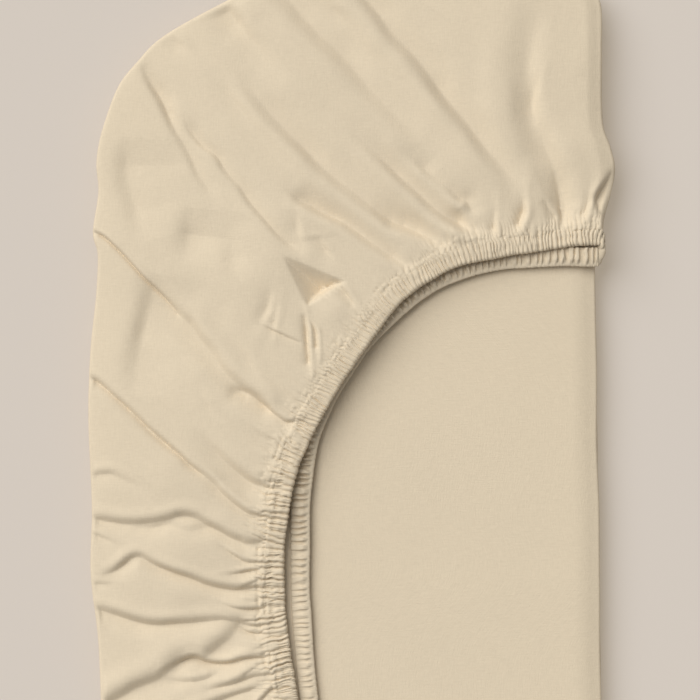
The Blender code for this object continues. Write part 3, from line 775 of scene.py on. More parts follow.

# Folds and creases of the pocket. path: its points, each given as the photo's pixel and the
# strength there. deep and wide: of the trough. sharp: 0 for a round trough, 1 for one with a keen
# bottom. roll: height of the soft roll beside it, on its left, or on its right where rollSide is -1.
# far: its own, in place of creasing's
creases = (
    # two crisp creases that run in from the left edge
    dict(deep=2.4, wide=0.9, sharp=1.0, roll=0.5, far=1.4,
         path=((91, 230, 1), (105, 238, 1), (115, 247, 1), (125, 257, 1), (135, 268, 1), (145, 279, 1),
               (158, 291, 0.9), (170, 303, 0.6), (178, 314, 0.3))),
    dict(deep=2.4, wide=3.2, sharp=0.2, roll=1.1,
         path=((158, 291, 0.3), (178, 314, 0.7), (190, 325, 0.9), (200, 340, 1), (210, 352, 1),
               (220, 367, 1), (230, 378, 0.9), (240, 386, 0.7))),
    dict(deep=2.5, wide=1.6, sharp=0.8, roll=0.4, far=1.4,
         path=((86, 375, 1), (100, 384, 1), (115, 397, 1), (125, 406, 1), (140, 420, 1), (150, 430, 1),
               (165, 443, 1.1), (180, 455, 1.1), (190, 465, 0.9), (202, 474, 0.3))),
    dict(deep=1.7, wide=1.8, sharp=0.6, roll=1.0,
         path=((190, 465, 0.3), (210, 480, 0.8), (220, 491, 1), (230, 500, 1), (240, 508, 1),
               (250, 514, 1), (260, 516, 0.9), (285, 516, 0.7))),
    # the dark tuck above the corner's lower end, and the crease from it to the hem
    dict(deep=2.8, wide=2.9, sharp=0.2, roll=0.3,
         path=((238, 391, 0.6), (247, 393, 1), (256, 398, 1), (265, 406, 0.7))),
    dict(deep=2.0, wide=1.3, sharp=0.7, roll=0.5,
         path=((256, 399, 0.2), (263, 404, 0.8), (270, 410, 0.9), (280, 418, 0.8), (288, 422, 0.9),
               (302, 421, 0.8))),
    dict(deep=2.2, wide=2.9, sharp=0.35, roll=0.7,
         path=((205, 440, 0.3), (217, 453, 0.8), (228, 464, 0.9), (240, 474, 1), (252, 483, 1.1),
               (264, 487, 0.9), (285, 488, 0.8))),
    dict(deep=0.7, wide=1.2, sharp=0.3, roll=0.2, path=((262, 458, 0.1), (272, 458, 0.7), (284, 458, 1))),
    dict(deep=0.8, wide=1.8, sharp=0.3, roll=0.5,
         path=((246, 424, 0.3), (262, 436, 0.8), (280, 446, 0.6))),
    dict(deep=0.6, wide=2.0, sharp=0.2, roll=0.4,
         path=((236, 340, 0.3), (248, 360, 0.8), (258, 380, 0.3))),
    dict(deep=0.5, wide=1.2, sharp=0.4, roll=0.3,
         path=((200, 398, 0.3), (208, 406, 0.8), (216, 416, 0.3))),
    # the folds of the left part, from the top down
    dict(deep=0.8, wide=1.8, sharp=0.4, roll=0.5,
         path=((92, 476, 0.9), (110, 474, 1), (125, 480, 0.6), (143, 487, 0.2))),
    dict(deep=2.0, wide=2.3, sharp=0.5, roll=0.8,
         path=((90, 518, 0.7), (110, 522, 0.9), (125, 524, 1), (140, 524, 1), (155, 522, 0.8),
               (170, 519, 0.9), (182, 516, 1.1), (195, 518, 1.1), (207, 525, 1.2), (218, 530, 1.2),
               (230, 537, 1.1), (240, 541, 1), (250, 544, 0.8), (284, 542, 0.6))),
    dict(deep=0.9, wide=2.0, sharp=0.3, roll=0.3,
         path=((140, 529, 0.4), (155, 528, 1), (170, 525, 0.7), (190, 531, 0.8), (207, 527, 0.4))),
    dict(deep=0.9, wide=1.3, sharp=0.5, roll=0.4, path=((90, 533, 1), (105, 539, 0.8), (118, 545, 0.2))),
    dict(deep=2.2, wide=1.9, sharp=0.6, roll=0.8,
         path=((102, 576, 0.1), (115, 571, 0.6), (125, 564, 1.1), (133, 558, 0.9), (141, 557, 0.8),
               (150, 562, 0.9), (160, 567, 1.1), (175, 573, 1.2), (190, 578, 1.2), (205, 584, 1.2),
               (220, 588, 1.2), (235, 590, 1.2), (248, 589, 1.1), (262, 588, 0.7), (284, 586, 0.6))),
    dict(deep=0.6, wide=1.2, sharp=0.4, roll=0.3, path=((97, 584, 1), (112, 585, 0.3))),
    dict(deep=1.3, wide=1.1, sharp=0.7, roll=0.6,
         path=((222, 547, 0.3), (235, 556, 0.9), (247, 562, 1), (265, 563, 1), (284, 563, 0.8))),
    dict(deep=1.3, wide=1.0, sharp=0.8, roll=0.6,
         path=((232, 574, 0.3), (245, 572, 1), (260, 569, 1), (284, 567, 1))),
    dict(deep=1.1, wide=0.9, sharp=0.8, roll=0.5,
         path=((243, 587, 0.3), (258, 580, 1), (270, 578, 1), (284, 577, 0.9))),
    dict(deep=1.5, wide=0.8, sharp=0.8, roll=0.5, path=((258, 599, 0.5), (284, 597, 1))),
    dict(deep=1.6, wide=1.2, sharp=0.7, roll=0.7,
         path=((222, 604, 0.2), (240, 609, 0.9), (258, 609, 1), (272, 606, 1), (284, 602, 1))),
    dict(deep=2.2, wide=2.3, sharp=0.5, roll=0.8,
         path=((99, 610, 0.7), (115, 615, 1), (130, 620, 1.1), (145, 624, 1.2), (160, 625, 1.2),
               (175, 624, 1.1), (190, 623, 0.9), (210, 621, 0.8), (225, 620, 0.8), (240, 623, 0.9),
               (255, 628, 0.9), (266, 627, 0.9), (284, 624, 0.7))),
    dict(deep=1.5, wide=0.8, sharp=0.8, roll=0.5, path=((258, 619, 0.6), (288, 615, 1))),
    dict(deep=1.5, wide=1.0, sharp=0.8, roll=0.6,
         path=((238, 627, 0.4), (250, 633, 1), (262, 634, 1), (275, 633, 1), (290, 632, 0.8))),
    dict(deep=0.9, wide=1.0, sharp=0.7, roll=0.4, path=((255, 650, 0.4), (268, 646, 1), (288, 640, 0.8))),
    dict(deep=2.5, wide=4.2, sharp=0.2, roll=1.0,
         path=((114, 702, 1), (125, 696, 1), (135, 690, 1), (150, 684, 1), (165, 676, 1), (175, 667, 1),
               (185, 660, 0.9), (203, 659, 0.7), (212, 654, 0.9), (222, 646, 0.9), (232, 638, 0.8),
               (240, 628, 0.5))),
    dict(deep=2.2, wide=1.4, sharp=0.7, roll=0.7,
         path=((178, 664, 0.5), (186, 660, 1), (195, 658, 1.1), (205, 662, 1.1), (215, 664, 1.1),
               (230, 663, 1.1), (245, 659, 1), (262, 657, 0.9), (276, 652, 0.7), (290, 649, 0.6))),
    dict(deep=1.8, wide=1.9, sharp=0.5, roll=0.8,
         path=((210, 690, 0.4), (222, 687, 0.9), (235, 684, 1), (243, 681, 1), (255, 677, 1),
               (268, 675, 0.9), (276, 671, 0.8), (292, 665, 0.7))),
    dict(deep=1.1, wide=1.7, sharp=0.4, roll=0.7,
         path=((176, 682, 0.5), (195, 682, 1), (207, 679, 0.9), (217, 674, 0.4))),
    dict(deep=1.7, wide=2.0, sharp=0.4, roll=0.9,
         path=((214, 703, 0.8), (228, 698, 1), (240, 694, 1), (250, 691, 0.9), (260, 686, 0.3))),
    dict(deep=0.9, wide=1.3, sharp=0.5, roll=0.4, path=((246, 674, 0.8), (262, 664, 0.8))),
    dict(deep=1.6, wide=1.0, sharp=0.8, roll=0.7,
         path=((260, 702, 0.8), (270, 691, 1), (280, 687, 1), (293, 687, 0.8))),
    # the long soft folds that fan out behind the corner, from the left to the right
    dict(deep=1.9, wide=2.3, sharp=0.2, roll=0.1, rollSide=-1,
         path=((143, 64, 0.2), (149, 79, 0.8), (157, 92, 1.2), (163, 102, 1.3), (168, 114, 1.3),
               (174, 127, 1), (181, 139, 0.8), (188, 151, 0.8), (194, 163, 0.8), (199, 175, 0.6),
               (210, 190, 0.2))),
    dict(deep=1.6, wide=1.9, sharp=0.3, roll=0.1, rollSide=-1,
         path=((185, 120, 0.2), (192, 132, 0.9), (202, 145, 1.1), (212, 152, 1.1), (219, 159, 1.2),
               (224, 168, 1), (232, 178, 0.7), (240, 186, 0.7), (246, 195, 1), (252, 204, 1),
               (261, 215, 1), (269, 224, 1), (278, 234, 1.1), (288, 243, 1.1), (299, 250, 0.4))),
    dict(deep=0.7, wide=2.2, sharp=0.2, roll=0.4, path=((168, 36, 0.9), (180, 46, 1), (188, 55, 0.3))),
    dict(deep=2.2, wide=4.4, sharp=0.1, roll=1.0,
         path=((220, -2, 0.8), (229, 13, 1.1), (236, 22, 1.1), (243, 33, 0.8), (252, 43, 0.8),
               (262, 54, 0.6), (275, 70, 0.2))),
    dict(deep=1.1, wide=2.6, sharp=0.2, roll=0.0,
         path=((216, 80, 0.3), (228, 93, 0.9), (240, 108, 1), (248, 117, 1), (258, 130, 0.9),
               (270, 143, 0.7), (284, 157, 0.5), (298, 171, 0.2))),
    dict(deep=2.1, wide=3.8, sharp=0.15, roll=1.2, rollSide=-1,
         path=((240, 72, 0.1), (250, 87, 0.4), (260, 101, 0.6), (270, 113, 0.8), (281, 125, 0.8),
               (293, 137, 0.9), (307, 151, 1.1), (325, 169, 1), (340, 181, 1), (352, 190, 1),
               (372, 207, 0.9), (388, 219, 0.9))),
    dict(deep=2.7, wide=2.6, sharp=0.4, roll=0.6, rollSide=-1,
         path=((380, 214, 0.3), (393, 222, 0.8), (403, 226, 1.2), (417, 232, 1.2), (427, 237, 0.9),
               (438, 243, 0.4))),
    dict(deep=2.6, wide=2.7, sharp=0.35, roll=0.8, rollSide=-1,
         path=((291, 193, 0.2), (300, 200, 0.8), (310, 205, 1), (320, 211, 1.1), (333, 217, 1.1),
               (343, 222, 1), (353, 229, 1), (368, 240, 0.9), (380, 248, 0.8), (392, 256, 0.8),
               (404, 263, 0.4))),
    dict(deep=2.5, wide=5.4, sharp=0.1, roll=1.2, rollSide=-1,
         path=((288, -2, 1), (296, 7, 1), (306, 19, 1), (322, 35, 1), (340, 52, 1), (355, 68, 0.9),
               (366, 84, 0.7), (380, 99, 0.6), (393, 112, 0.6), (406, 125, 0.5), (420, 140, 0.2))),
    dict(deep=2.5, wide=4.2, sharp=0.15, roll=1.4, rollSide=-1,
         path=((366, -2, 0.9), (380, 15, 1), (390, 29, 1), (400, 40, 1), (412, 52, 1), (425, 68, 1.1),
               (435, 82, 1.1), (446, 97, 1.1), (457, 110, 1), (468, 124, 1), (478, 137, 1),
               (488, 150, 0.9), (499, 162, 0.7), (510, 175, 0.5), (520, 190, 0.2))),
    dict(deep=2.4, wide=3.0, sharp=0.25, roll=1.4, rollSide=-1,
         path=((360, 138, 0.2), (378, 155, 0.6), (395, 172, 0.8), (412, 187, 0.8), (430, 204, 0.9),
               (445, 216, 1.1), (458, 223, 1.3), (472, 230, 0.8))),
    dict(deep=1.9, wide=2.4, sharp=0.25, roll=1.0, rollSide=-1,
         path=((414, 158, 0.3), (424, 168, 0.9), (434, 177, 0.6), (446, 186, 0.6), (458, 197, 1),
               (466, 201, 1.1), (471, 208, 0.7))),
    dict(deep=0.8, wide=3.0, sharp=0.1, roll=0.4, path=((326, 6, 0.5), (336, 14, 1), (348, 24, 0.3))),
    # small folds at the hem of the right part, and the broad valley that runs down to them
    dict(deep=1.3, wide=1.3, sharp=0.5, roll=0.5, path=((494, 214, 0.4), (494, 228, 1))),
    dict(deep=2.0, wide=1.5, sharp=0.5, roll=0.8,
         path=((523, 202, 0.4), (523, 213, 1.1), (519, 224, 0.9))),
    dict(deep=1.1, wide=1.2, sharp=0.5, roll=0.5, path=((545, 203, 0.4), (554, 216, 1))),
    dict(deep=2.7, wide=9.0, sharp=0.0, roll=0.6, rollSide=-1, far=0.7,
         path=((534, 20, 0.3), (528, 50, 0.6), (527, 80, 0.8), (530, 105, 1), (534, 125, 1),
               (542, 145, 1), (551, 165, 1), (558, 185, 1), (562, 205, 0.9), (563, 224, 0.6))),
    dict(deep=0.6, wide=1.4, sharp=0.5, roll=0.3, path=((538, 78, 0.4), (533, 100, 1), (533, 118, 0.4))),
    dict(deep=1.6, wide=2.4, sharp=0.5, roll=0.0, rollSide=-1,
         path=((535, 125, 0), (544, 146, 0.2), (552, 164, 0.4), (557, 184, 0.8), (561, 200, 1.1),
               (562, 213, 1.3), (563, 224, 1))),
    dict(deep=1.2, wide=1.2, sharp=0.5, roll=0.5, path=((590, 200, 0.5), (584, 214, 1))),
    # the pit behind the right end of the bands
    dict(deep=2.6, wide=1.4, sharp=0.5, roll=0.5, rollSide=-1,
         path=((611, 174, 0.3), (606, 183, 0.9), (599, 194, 1.4), (597, 203, 0.9), (601, 214, 0.5))),
    # soft one-sided hollows in the left part
    dict(deep=2.0, wide=6.5, sharp=0.0, roll=0.0, rollSide=-1, far=4.5,
         path=((129, 138, 0.1), (128, 166, 1), (131, 190, 0.9), (138, 212, 1), (147, 242, 0.1))),
    dict(deep=2.4, wide=6.5, sharp=0.0, roll=0.0, rollSide=-1, far=4.5,
         path=((194, 208, 0.1), (191, 234, 1), (186, 264, 0.1))),
    dict(deep=1.2, wide=6.0, sharp=0.0, roll=0.1, rollSide=-1, far=1.8,
         path=((231, 236, 0.1), (233, 258, 1), (241, 284, 0.1))),
    dict(deep=2.9, wide=7.5, sharp=0.0, roll=0.0, rollSide=-1, far=4.5,
         path=((158, 274, 0.1), (153, 304, 0.9), (147, 330, 1), (141, 356, 0.8), (137, 396, 0.1))),
    dict(deep=0.5, wide=3.5, sharp=0.0, roll=0.1, rollSide=-1, far=1.8,
         path=((209, 190, 0.8), (218, 218, 0.2))),
    # puckers beside the dent
    dict(deep=2.4, wide=0.9, sharp=0.7, roll=0.6,
         path=((305, 318, 0.5), (307, 330, 1), (308, 345, 1), (309, 362, 0.7))),
    dict(deep=1.6, wide=0.8, sharp=0.7, roll=0.5, path=((311, 322, 0.3), (316, 332, 1), (317, 346, 0.9))),
    dict(deep=0.9, wide=0.7, sharp=0.9, roll=0.3,
         path=((259, 324, 0.3), (272, 330, 1), (283, 335, 1), (299, 342, 0.5))),
    dict(deep=1.1, wide=1.8, sharp=0.3, roll=0.3, path=((270, 297, 0.5), (267, 310, 1), (262, 319, 0.6))),
    dict(deep=0.8, wide=1.3, sharp=0.3, roll=0.3, path=((277, 306, 0.6), (274, 323, 0.8))),
    dict(deep=0.9, wide=1.9, sharp=0.3, roll=0.2,
         path=((296, 216, 0.5), (297, 228, 1.1), (299, 240, 0.7))),
    dict(deep=0.5, wide=1.1, sharp=0.4, roll=0.2, path=((305, 241, 0.6), (319, 239, 0.8))),
    dict(deep=1.0, wide=1.3, sharp=0.3, roll=0.3, path=((321, 244, 0.6), (326, 250, 1), (330, 256, 0.4))),
    dict(deep=1.8, wide=1.4, sharp=0.5, roll=0.5, path=((338, 284, 0.5), (346, 294, 1), (352, 303, 0.6))),
)

dent = dict(
    corners=((-38.2, 53.6), (-5.0, 39.8), (-25.4, 26.4)),  # blunt one, right one, low one
    deep=5.8,  # at the line between the right and the low corner
    topWall=0.95,  # slopes of its sides
    leftWall=0.85,
    farWall=3.2,
    blend=(1.1, 0.25),  # how softly the first two meet, and both with the far wall
    rim=0.2,
)

# wide soft swells: place, radius and height
swells = (
    dict(at=(-100, -75), radius=16, high=0.8),
    dict(at=(-95, -108), radius=13, high=0.9),
    dict(at=(-96, -134), radius=9, high=0.7),
    dict(at=(-104, -162), radius=10, high=0.8),
    dict(at=(-56, -162), radius=9, high=0.8),
    dict(at=(-44, 60), radius=24, high=2.4),
    dict(at=(-9, 23), radius=9, high=1.2),
    dict(at=(60, 105), radius=12, high=0.4),
    dict(at=(122, 112), radius=13, high=1.0),
)


def nearestOnPath(x, y, path):
    # for every place: its distance from a path; how squarely it lies beside it, from 1 on its left to
    # -1 on its right and less past its ends; and how far along it is
    start, way = path[:-1], np.diff(path, axis=0)
    length = np.linalg.norm(way, axis=1)
    before = np.concatenate([[0], np.cumsum(length)])
    best = np.full(x.shape, np.inf)
    side = np.zeros(x.shape)
    along = np.zeros(x.shape)
    for k in range(len(way)):
        dx, dy = x - start[k, 0], y - start[k, 1]
        share = np.clip((dx * way[k, 0] + dy * way[k, 1]) / length[k] ** 2, 0, 1)
        offX, offY = dx - share * way[k, 0], dy - share * way[k, 1]
        distance = np.hypot(offX, offY)
        nearer = distance < best
        best = np.where(nearer, distance, best)
        square = (way[k, 0] * offY - way[k, 1] * offX) / (length[k] * np.maximum(distance, 1e-6))
        side = np.where(nearer, square, side)
        along = np.where(nearer, before[k] + share * length[k], along)
    return best, side, along / before[-1]


def troughProfile(distance, side, wide, far, sharp):
    # on the side of its roll the cloth bends down ever more steeply to the bottom, which lies on the
    # path, and on the other side it climbs more slowly. Keen: e to the power of less the distance, in
    # widths; round: a bell
    away = distance / (wide * (1 + (far - 1) * (1 - side) / 2))
    keen = np.exp(creasing["keenRound"] - np.hypot(away, creasing["keenRound"]))
    return (1 - sharp) * bell(away, 1) + sharp * keen


def fromPhoto(path):
    # x and y of a path's pixels: how far right of the middle pixel and behind it, to a tenth of a
    # millimetre
    middleX, middleY = creasing["middle"]
    pixel = creasing["pixel"]
    return np.array([(round((u - middleX) * pixel, 1), round((middleY - v) * pixel, 1)) for u, v, _ in path])


def creaseHeight(x, y):
    # the sum, over all creases, of a trough along the path and a soft roll beside it, and of all swells
    height = np.zeros(x.shape)
    widths, more = creasing["reach"]
    stray, size = creasing["uneven"]
    for crease in creases:
        corners = fromPhoto(crease["path"])
        strengths = np.array(crease["path"])[:, 2]
        path = smoothCurve(corners, 5) if len(corners) > 2 else corners
        far = crease.get("far", creasing["far"])
        reach = widths * crease["wide"] * max(1, far) + more
        low, high = corners.min(axis=0) - reach, corners.max(axis=0) + reach
        near = (x > low[0]) & (x < high[0]) & (y > low[1]) & (y < high[1])
        distance, side, along = nearestOnPath(x[near], y[near], path)
        reached = np.concatenate([[0], np.cumsum(np.linalg.norm(np.diff(corners, axis=0), axis=1))])
        strength = np.interp(along, reached / reached[-1], strengths)
        strength = strength * (1 + stray * softField(x[near], y[near], size, seed=8))
        wide = crease["wide"] * (1 + stray * softField(x[near], y[near], size, seed=5))
        side = side * crease.get("rollSide", 1)
        fromRoll = distance * side - creasing["rollAway"] * crease["wide"]
        roll = crease["roll"] * bell(fromRoll, creasing["rollWide"] * crease["wide"])
        trough = crease["deep"] * troughProfile(distance, side, wide, far, crease["sharp"])
        within = 1 - ramp(distance, creasing["fadeFrom"] * reach, reach)
        height[near] += creasing["scale"] * strength * (roll - trough) * within
    for swell in swells:
        away = np.hypot(x - swell["at"][0], y - swell["at"][1])
        height += swell["high"] * bell(away, swell["radius"])
    return height


def insideOf(x, y, start, end):
    # distance from the line through two corners, above 0 on its right
    way = np.subtract(end, start)
    return ((x - start[0]) * way[1] - (y - start[1]) * way[0]) / np.hypot(*way)


def dentHeight(x, y):
    # a three-cornered hollow. Its depth is the least of what its upper, left and far walls allow; a
    # corner between two of them is slightly rounded
    blunt, right, low = dent["corners"]
    top = dent["topWall"] * insideOf(x, y, blunt, right)
    left = dent["leftWall"] * insideOf(x, y, low, blunt)
    far = dent["deep"] + dent["farWall"] * insideOf(x, y, right, low)
    wide, close = dent["blend"]
    near = -wide * np.logaddexp(-top / wide, -left / wide)
    least = -close * np.logaddexp(-near / close, -far / close)
    return -dent["rim"] * np.logaddexp(0, least / dent["rim"])


def skirtPlaces(line, hemShares, rowsNear, rowsFar, widthFromEdge):
    # columns that leave the band's stitching square to it and bend, by a Hermite cubic, to meet the
    # outline
    inward = leftNormals(line, hemShares)
    start = atShares(line, hemShares) - inward * widthFromEdge
    edgeShares = np.interp(hemShares, *zip(*pocket["fan"]))
    end = atShares(edgeLine, edgeShares)
    outward = -leftNormals(edgeLine, edgeShares, outlineStep)
    reach = np.linalg.norm(end - start, axis=1)
    near = np.array(rowsNear)[:, None] * np.ones(len(hemShares))
    shareFar = (np.arange(1, rowsFar + 1)[:, None] / rowsFar) ** pocket["rowCrowding"]
    far = near[-1] + (reach - near[-1]) * shareFar
    along = np.vstack([near, far])
    t = np.clip(along / reach, 0, 1)[..., None]
    pull = reach[:, None]
    places = ((2 * t**3 - 3 * t**2 + 1) * start + (t**3 - 2 * t**2 + t) * pull * -inward * pocket["bowHem"]
              + (3 * t**2 - 2 * t**3) * end + (t**3 - t**2) * pull * outward * pocket["bowEdge"])
    behind = np.minimum(along, 0)[..., None] * -inward
    return places + behind, along, t[..., 0]


def rightEdged(places, shares, t):
    # the columns near the right fold take up the shape of the pocket's right edge
    own = atShares(smoothCurve(pocket["rightEdge"]), t[:, 0])
    fade = (1 - ramp(shares, 0, pocket["rightEdgeReach"]))[None, :, None]
    return places + fade * (own[:, None] - places[:, :1])


def frontLevelled(places, shares):
    # and those near the front are brought level with the packet's front end
    level = ramp(shares, 1 - pocket["frontReach"], 1)[None, :]
    places[..., 1] += level * (packet["frontY"] - places[:, -1:, 1])
    return places


def pleatHeight(rib, out):
    # the ribs fade out beyond the stitching. Each kind of fold comes in where they fade and then fades
    # itself
    seed = pocket["seed"]
    beyond = np.maximum(out, 0)
    far, stray, ribs = pleats["reach"]
    reach = far + stray * softLine(rib, ribs, seed + 6)
    height = hem["ribHeight"] * (ribCrest(rib, hem["wide"] + out) - meanCrest) * ribStrength(rib)
    height *= np.exp(-((beyond / reach) ** pleats["fade"]))
    for fold in pleats["folds"]:
        straySeed, foldSeed, unevenSeed = fold["seeds"]
        stray, ribs = fold["stray"]
        place = rib / fold["ribs"] + stray * softLine(rib, ribs, seed + straySeed)
        high = fold["high"] * (gathers(place, seed + foldSeed, fold["softness"]) - fold["level"])
        high *= 1 - np.exp(-beyond / fold["start"])
        high *= np.exp(-((beyond / fold["end"]) ** pleats["foldFade"]))
        share, ribs = fold["uneven"]
        height += high * (1 - share * (1 - softLine(rib, ribs, seed + unevenSeed)))
    swell = pleats["swell"]
    high = swell["high"] * softLine(rib, swell["ribs"], seed + 5) * (1 - np.exp(-beyond / swell["start"]))
    return height + high * np.exp(-((beyond / swell["end"]) ** swell["fade"]))


def pocketHeight(places, shares, t, out):
    # above the panel: from the casing's top at the stitching, over a crown, to the turned edge, with
    # the pleats, the creases and the dent added, and lowered towards the right fold
    x, y = places[..., 0], places[..., 1]
    seed = pocket["seed"]
    # the band's ribs are counted from the front end, and the skirt's columns from the right fold
    rib = (1 - shares)[None, :] * upperRibs + np.zeros(out.shape)
    start = upperRise(shares) + cornerLift(shares) + hem["flatHalf"] + hem["ribHeight"] * meanCrest
    start = (start - packet["clothThick"] / 2)[None]
    height = start * (1 - t) + 2 * packet["turnRadius"] * t + pocket["crown"] * np.sin(math.pi * t)
    # at the stitching the skirt's top is level with the casing's, and further in it dives under it
    height += np.interp(out, *zip(*pocket["overlap"]))
    calmEdge = 1 - pocket["edgeCalm"] * ramp(t, pocket["edgeCalmFrom"], 1.0)
    height += pleatHeight(rib, out) * calmEdge
    atHem = pocket["creaseAtHem"]
    depth = atHem + (1 - atHem) * ramp(out, 0, pocket["creaseStart"])
    height += creaseHeight(x, y) * depth * calmEdge + dentHeight(x, y)
    for k, (high, size) in enumerate(pocket["unevenness"]):
        height += high * softField(x, y, size, seed + 9 + k) * ramp(out, *pocket["unevenFrom"])
    fromRight = np.linalg.norm(places - places[:, :1], axis=2)
    drop = np.clip(1 - fromRight / pocket["rightDropWide"], 0, 1) ** pocket["rightDropPower"]
    low = 1 - ramp(fromRight, 0, pocket["rightLowWide"])
    height -= (pocket["rightDrop"] * drop + pocket["rightLow"] * low) * ramp(out, *pocket["rightLowFrom"])
    high, size = pocket["leastUneven"]
    return np.maximum(height, pocket["leastRise"] + high * softField(x, y, size, seed=2))


def turnedUnder(steps, radius, standOut, returns):
    # half a turn about an edge, and flat cloth back under it: the angle turned through, how far each
    # row stands out from the edge, and the length of cloth up to it
    turn = math.pi * np.arange(1, steps + 1) / steps
    back = np.array(returns)
    angle = np.concatenate([turn, np.full(len(back), math.pi)])
    reach = np.concatenate([standOut * np.sin(turn), -back])
    return angle, reach, np.concatenate([radius * turn, radius * math.pi + back])


def makePocket():
    # rows from the casing to the outline and on round its turned edge, and columns from the front end
    # to the right fold and on round it. points are their places, grain how far they lie along the cloth
    shares = np.linspace(0, 1, upperRibs * pocket["columnsPerRib"] + 1)
    places, out, t = skirtPlaces(upperLine, shares, pocket["pleatRows"], pocket["skirtRows"], hem["wide"])
    places = frontLevelled(rightEdged(places, shares, t), shares)
    points = np.dstack([places, packet["panelHeight"] + pocketHeight(places, shares, t, out)])

    angle, reach, cloth = turnedUnder(
        pocket["turnSteps"], packet["turnRadius"], packet["turnOut"], pocket["turnReturn"],
    )
    outward = -leftNormals(edgeLine, np.interp(shares, *zip(*pocket["fan"])), pocket["turnStep"])
    outward[:, 1] *= 1 - ramp(shares, pocket["turnFront"], 1.0)
    turned = np.tile(points[-1:], (len(reach), 1, 1))
    turned[..., :2] += outward * reach[:, None, None]
    points = np.concatenate([points, turned])
    grain = np.concatenate([places, places[-1:] + outward * cloth[:, None, None]])
    edgeAngle = np.concatenate([np.zeros(len(out)), angle])[:, None]
    out = np.vstack([out, np.tile(out[-1:], (len(reach), 1))])

    radius = (hem["upperRise"] - hem["endFall"][0] - hem["underRise"]) / 2 + pocket["rightFoldMore"]
    angle, reach, cloth = turnedUnder(pocket["rightFoldSteps"], radius, radius, pocket["rightReturn"])
    slip = hem["upper"][0][1] - hem["under"][0][1]
    slip = slip * np.exp(-np.maximum(out[:, :1], 0) / pocket["slipReach"])
    folded = np.tile(points[:, :1], (1, len(reach), 1))
    folded[..., 0] += reach[::-1]
    folded[..., 1] -= slip * ((1 - np.cos(angle)) / 2)[::-1]
    points = np.concatenate([folded, points], axis=1)
    foldedGrain = np.tile(grain[:, :1], (1, len(reach), 1))
    foldedGrain[..., 0] += cloth[::-1]
    grain = np.concatenate([foldedGrain, grain], axis=1)
    foldAngle = np.concatenate([angle[::-1], np.zeros(len(shares))])[None]

    # both turns lower the cloth together, so that they meet in a round corner
    upright = (1 + np.cos(edgeAngle)) / 2
    low = packet["panelHeight"] + pocket["undersideRise"]
    low = low + pocket["rightUndersideMore"] * (1 - np.cos(foldAngle)) / 2 * upright
    points[..., 2] = low + (points[..., 2] - low) * (1 + np.cos(foldAngle)) / 2 * upright
    return gridPiece("pocketSkirt", points, grain * mm, thick=packet["clothThick"], flip=True,
                     keep=pocket["keepTriangles"])


hemBands = makeBands()
print("bands made:", len(hemBands.data.polygons), "faces")
pocketSkirt = makePocket()
print("pocket made:", len(pocketSkirt.data.polygons), "faces")


# the under skirt, from the under band to a loose edge inside the pocket
underCloth = dict(
    columns=240,
    nearRows=(-1.6, -0.6, 0.5, 1.6, 2.8, 4.2, 6, 8),  # by their distance from the stitching
    farRows=14,
    keepRows=0.85,  # the share of its rows before its loose edge
    rightIn=0.03,
    lyingRise=1.5,  # above the panel's middle, where it lies on the panel
    leastRise=1.45,
    fallReach=16.0,  # how far it takes to come down to it
    pleatRibs=2.0,
    pleatHigh=0.45,
    pleatLevel=0.7,
    pleatReach=8.0,
)


def makeUnderSkirt():
    # it falls away from the band, to lie on the panel, with a few soft pleats near the band
    shares = np.linspace(underCloth["rightIn"], 1, underCloth["columns"])
    rowsNear, rowsFar = underCloth["nearRows"], underCloth["farRows"]
    places, out, t = skirtPlaces(underLine, shares, rowsNear, rowsFar, hem["wide"])
    keep = int(len(t) * underCloth["keepRows"])
    places, out = frontLevelled(places, shares)[:keep], out[:keep]
    beyond = np.maximum(out, 0)
    start = hem["underRise"] - hem["wide"] * hem["underTilt"] + hem["underLift"] * cornerLift(shares)[None]
    lying = underCloth["lyingRise"]
    height = lying + (start - lying) * np.exp(-beyond / underCloth["fallReach"])
    rib = (shares * underRibs)[None] + np.zeros(out.shape)
    pleat = gathers(rib / underCloth["pleatRibs"], pocket["seed"] + 12) - underCloth["pleatLevel"]
    height += underCloth["pleatHigh"] * pleat * np.exp(-beyond / underCloth["pleatReach"])
    points = np.dstack([places, packet["panelHeight"] + np.maximum(height, underCloth["leastRise"])])
    return gridPiece("underSkirt", points, places * mm, thick=packet["clothThick"], flip=True)


underSkirt = makeUnderSkirt()
print("under skirt made")


dress(baseStack, clothCotton)
dress(pocketSkirt, clothCotton)
dress(hemBands, shadedBandCotton)
dress(underSkirt, clothCotton)


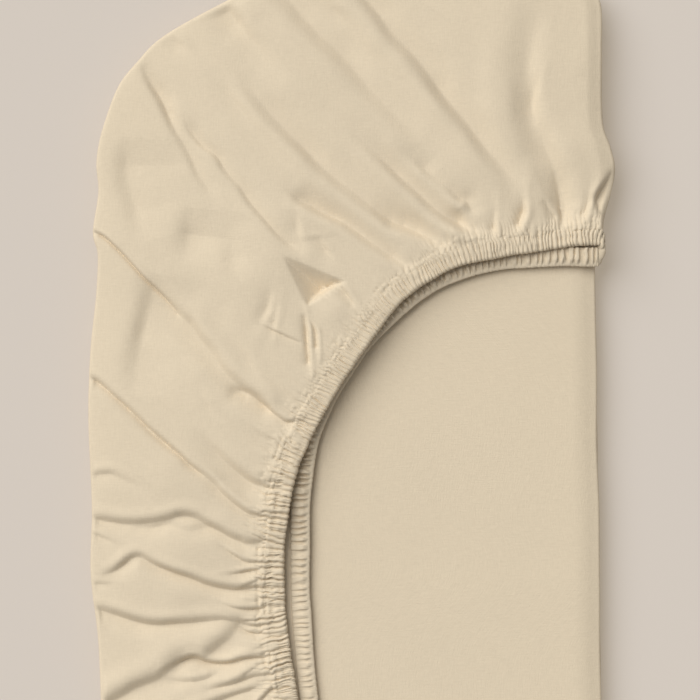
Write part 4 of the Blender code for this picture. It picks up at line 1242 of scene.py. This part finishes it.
# floor, light and camera
studio = dict(
    floorSide=8.0,  # metres
    floorBelow=0.0002,  # how far it lies below the packet
    floorColour=(0.385, 0.360, 0.350, 1.0),
    floorRoughness=0.95,
    floorShine=0.1,
    floorGlow=0.31,  # painted light: the floor glows with its own light, which keeps its shadows pale
    floorGlowColour=(0.885, 0.749, 0.558, 1.0),
    keyTurn=138.0,  # degrees from +X to the side that the key light comes from
    keyHeight=47.0,  # degrees above the floor
    keySpread=56.0,  # degrees across, as a large soft box seen from the packet
    keyPower=2.92,
    skyColour=(1.0, 1.0, 1.0),
    skyPower=0.305,
    lensLength=200.0,
    cameraHeight=2.161,
    cameraPlace=(-0.00055, 0.0011),
)


def makeFloor():
    # one wide square, just below the packet
    mesh = bpy.data.meshes.new("floor")
    side, level = studio["floorSide"] / 2, -studio["floorBelow"]
    corners = [(-side, -side, level), (side, -side, level), (side, side, level), (-side, side, level)]
    mesh.from_pydata(corners, [], [(0, 1, 2, 3)])
    floor = bpy.data.objects.new("floor", mesh)
    bpy.context.scene.collection.objects.link(floor)
    material = bpy.data.materials.new("paleGlowingFloor")
    material.use_nodes = True
    tree = material.node_tree
    finish = tree.nodes["Principled BSDF"]
    finish.inputs["Base Color"].default_value = studio["floorColour"]
    finish.inputs["Roughness"].default_value = studio["floorRoughness"]
    finish.inputs["Specular IOR Level"].default_value = studio["floorShine"]
    # painted light: the floor glows evenly with its own light, so the shadows on it stay pale
    finish.inputs["Emission Color"].default_value = studio["floorGlowColour"]
    finish.inputs["Emission Strength"].default_value = studio["floorGlow"]
    mesh.materials.append(material)
    return floor


def makeLight():
    # one wide soft lamp from the back left, and an even white sky
    lamp = bpy.data.lights.new("key", "SUN")
    lamp.angle = math.radians(studio["keySpread"])
    lamp.energy = studio["keyPower"]
    key = bpy.data.objects.new("key", lamp)
    bpy.context.scene.collection.objects.link(key)
    key.rotation_euler = (math.radians(90 - studio["keyHeight"]), 0, math.radians(studio["keyTurn"] + 90))
    world = bpy.data.worlds.new("studio")
    world.use_nodes = True
    world.node_tree.nodes["Background"].inputs["Color"].default_value = (*studio["skyColour"], 1.0)
    world.node_tree.nodes["Background"].inputs["Strength"].default_value = studio["skyPower"]
    bpy.context.scene.world = world


def makeCamera():
    # straight above, looking down
    view = bpy.data.cameras.new("camera")
    view.lens = studio["lensLength"]
    camera = bpy.data.objects.new("camera", view)
    bpy.context.scene.collection.objects.link(camera)
    camera.location = (*studio["cameraPlace"], studio["cameraHeight"])
    bpy.context.scene.camera = camera
    bpy.context.scene.view_settings.view_transform = "Standard"


makeFloor()
makeLight()
makeCamera()
print("studio made")
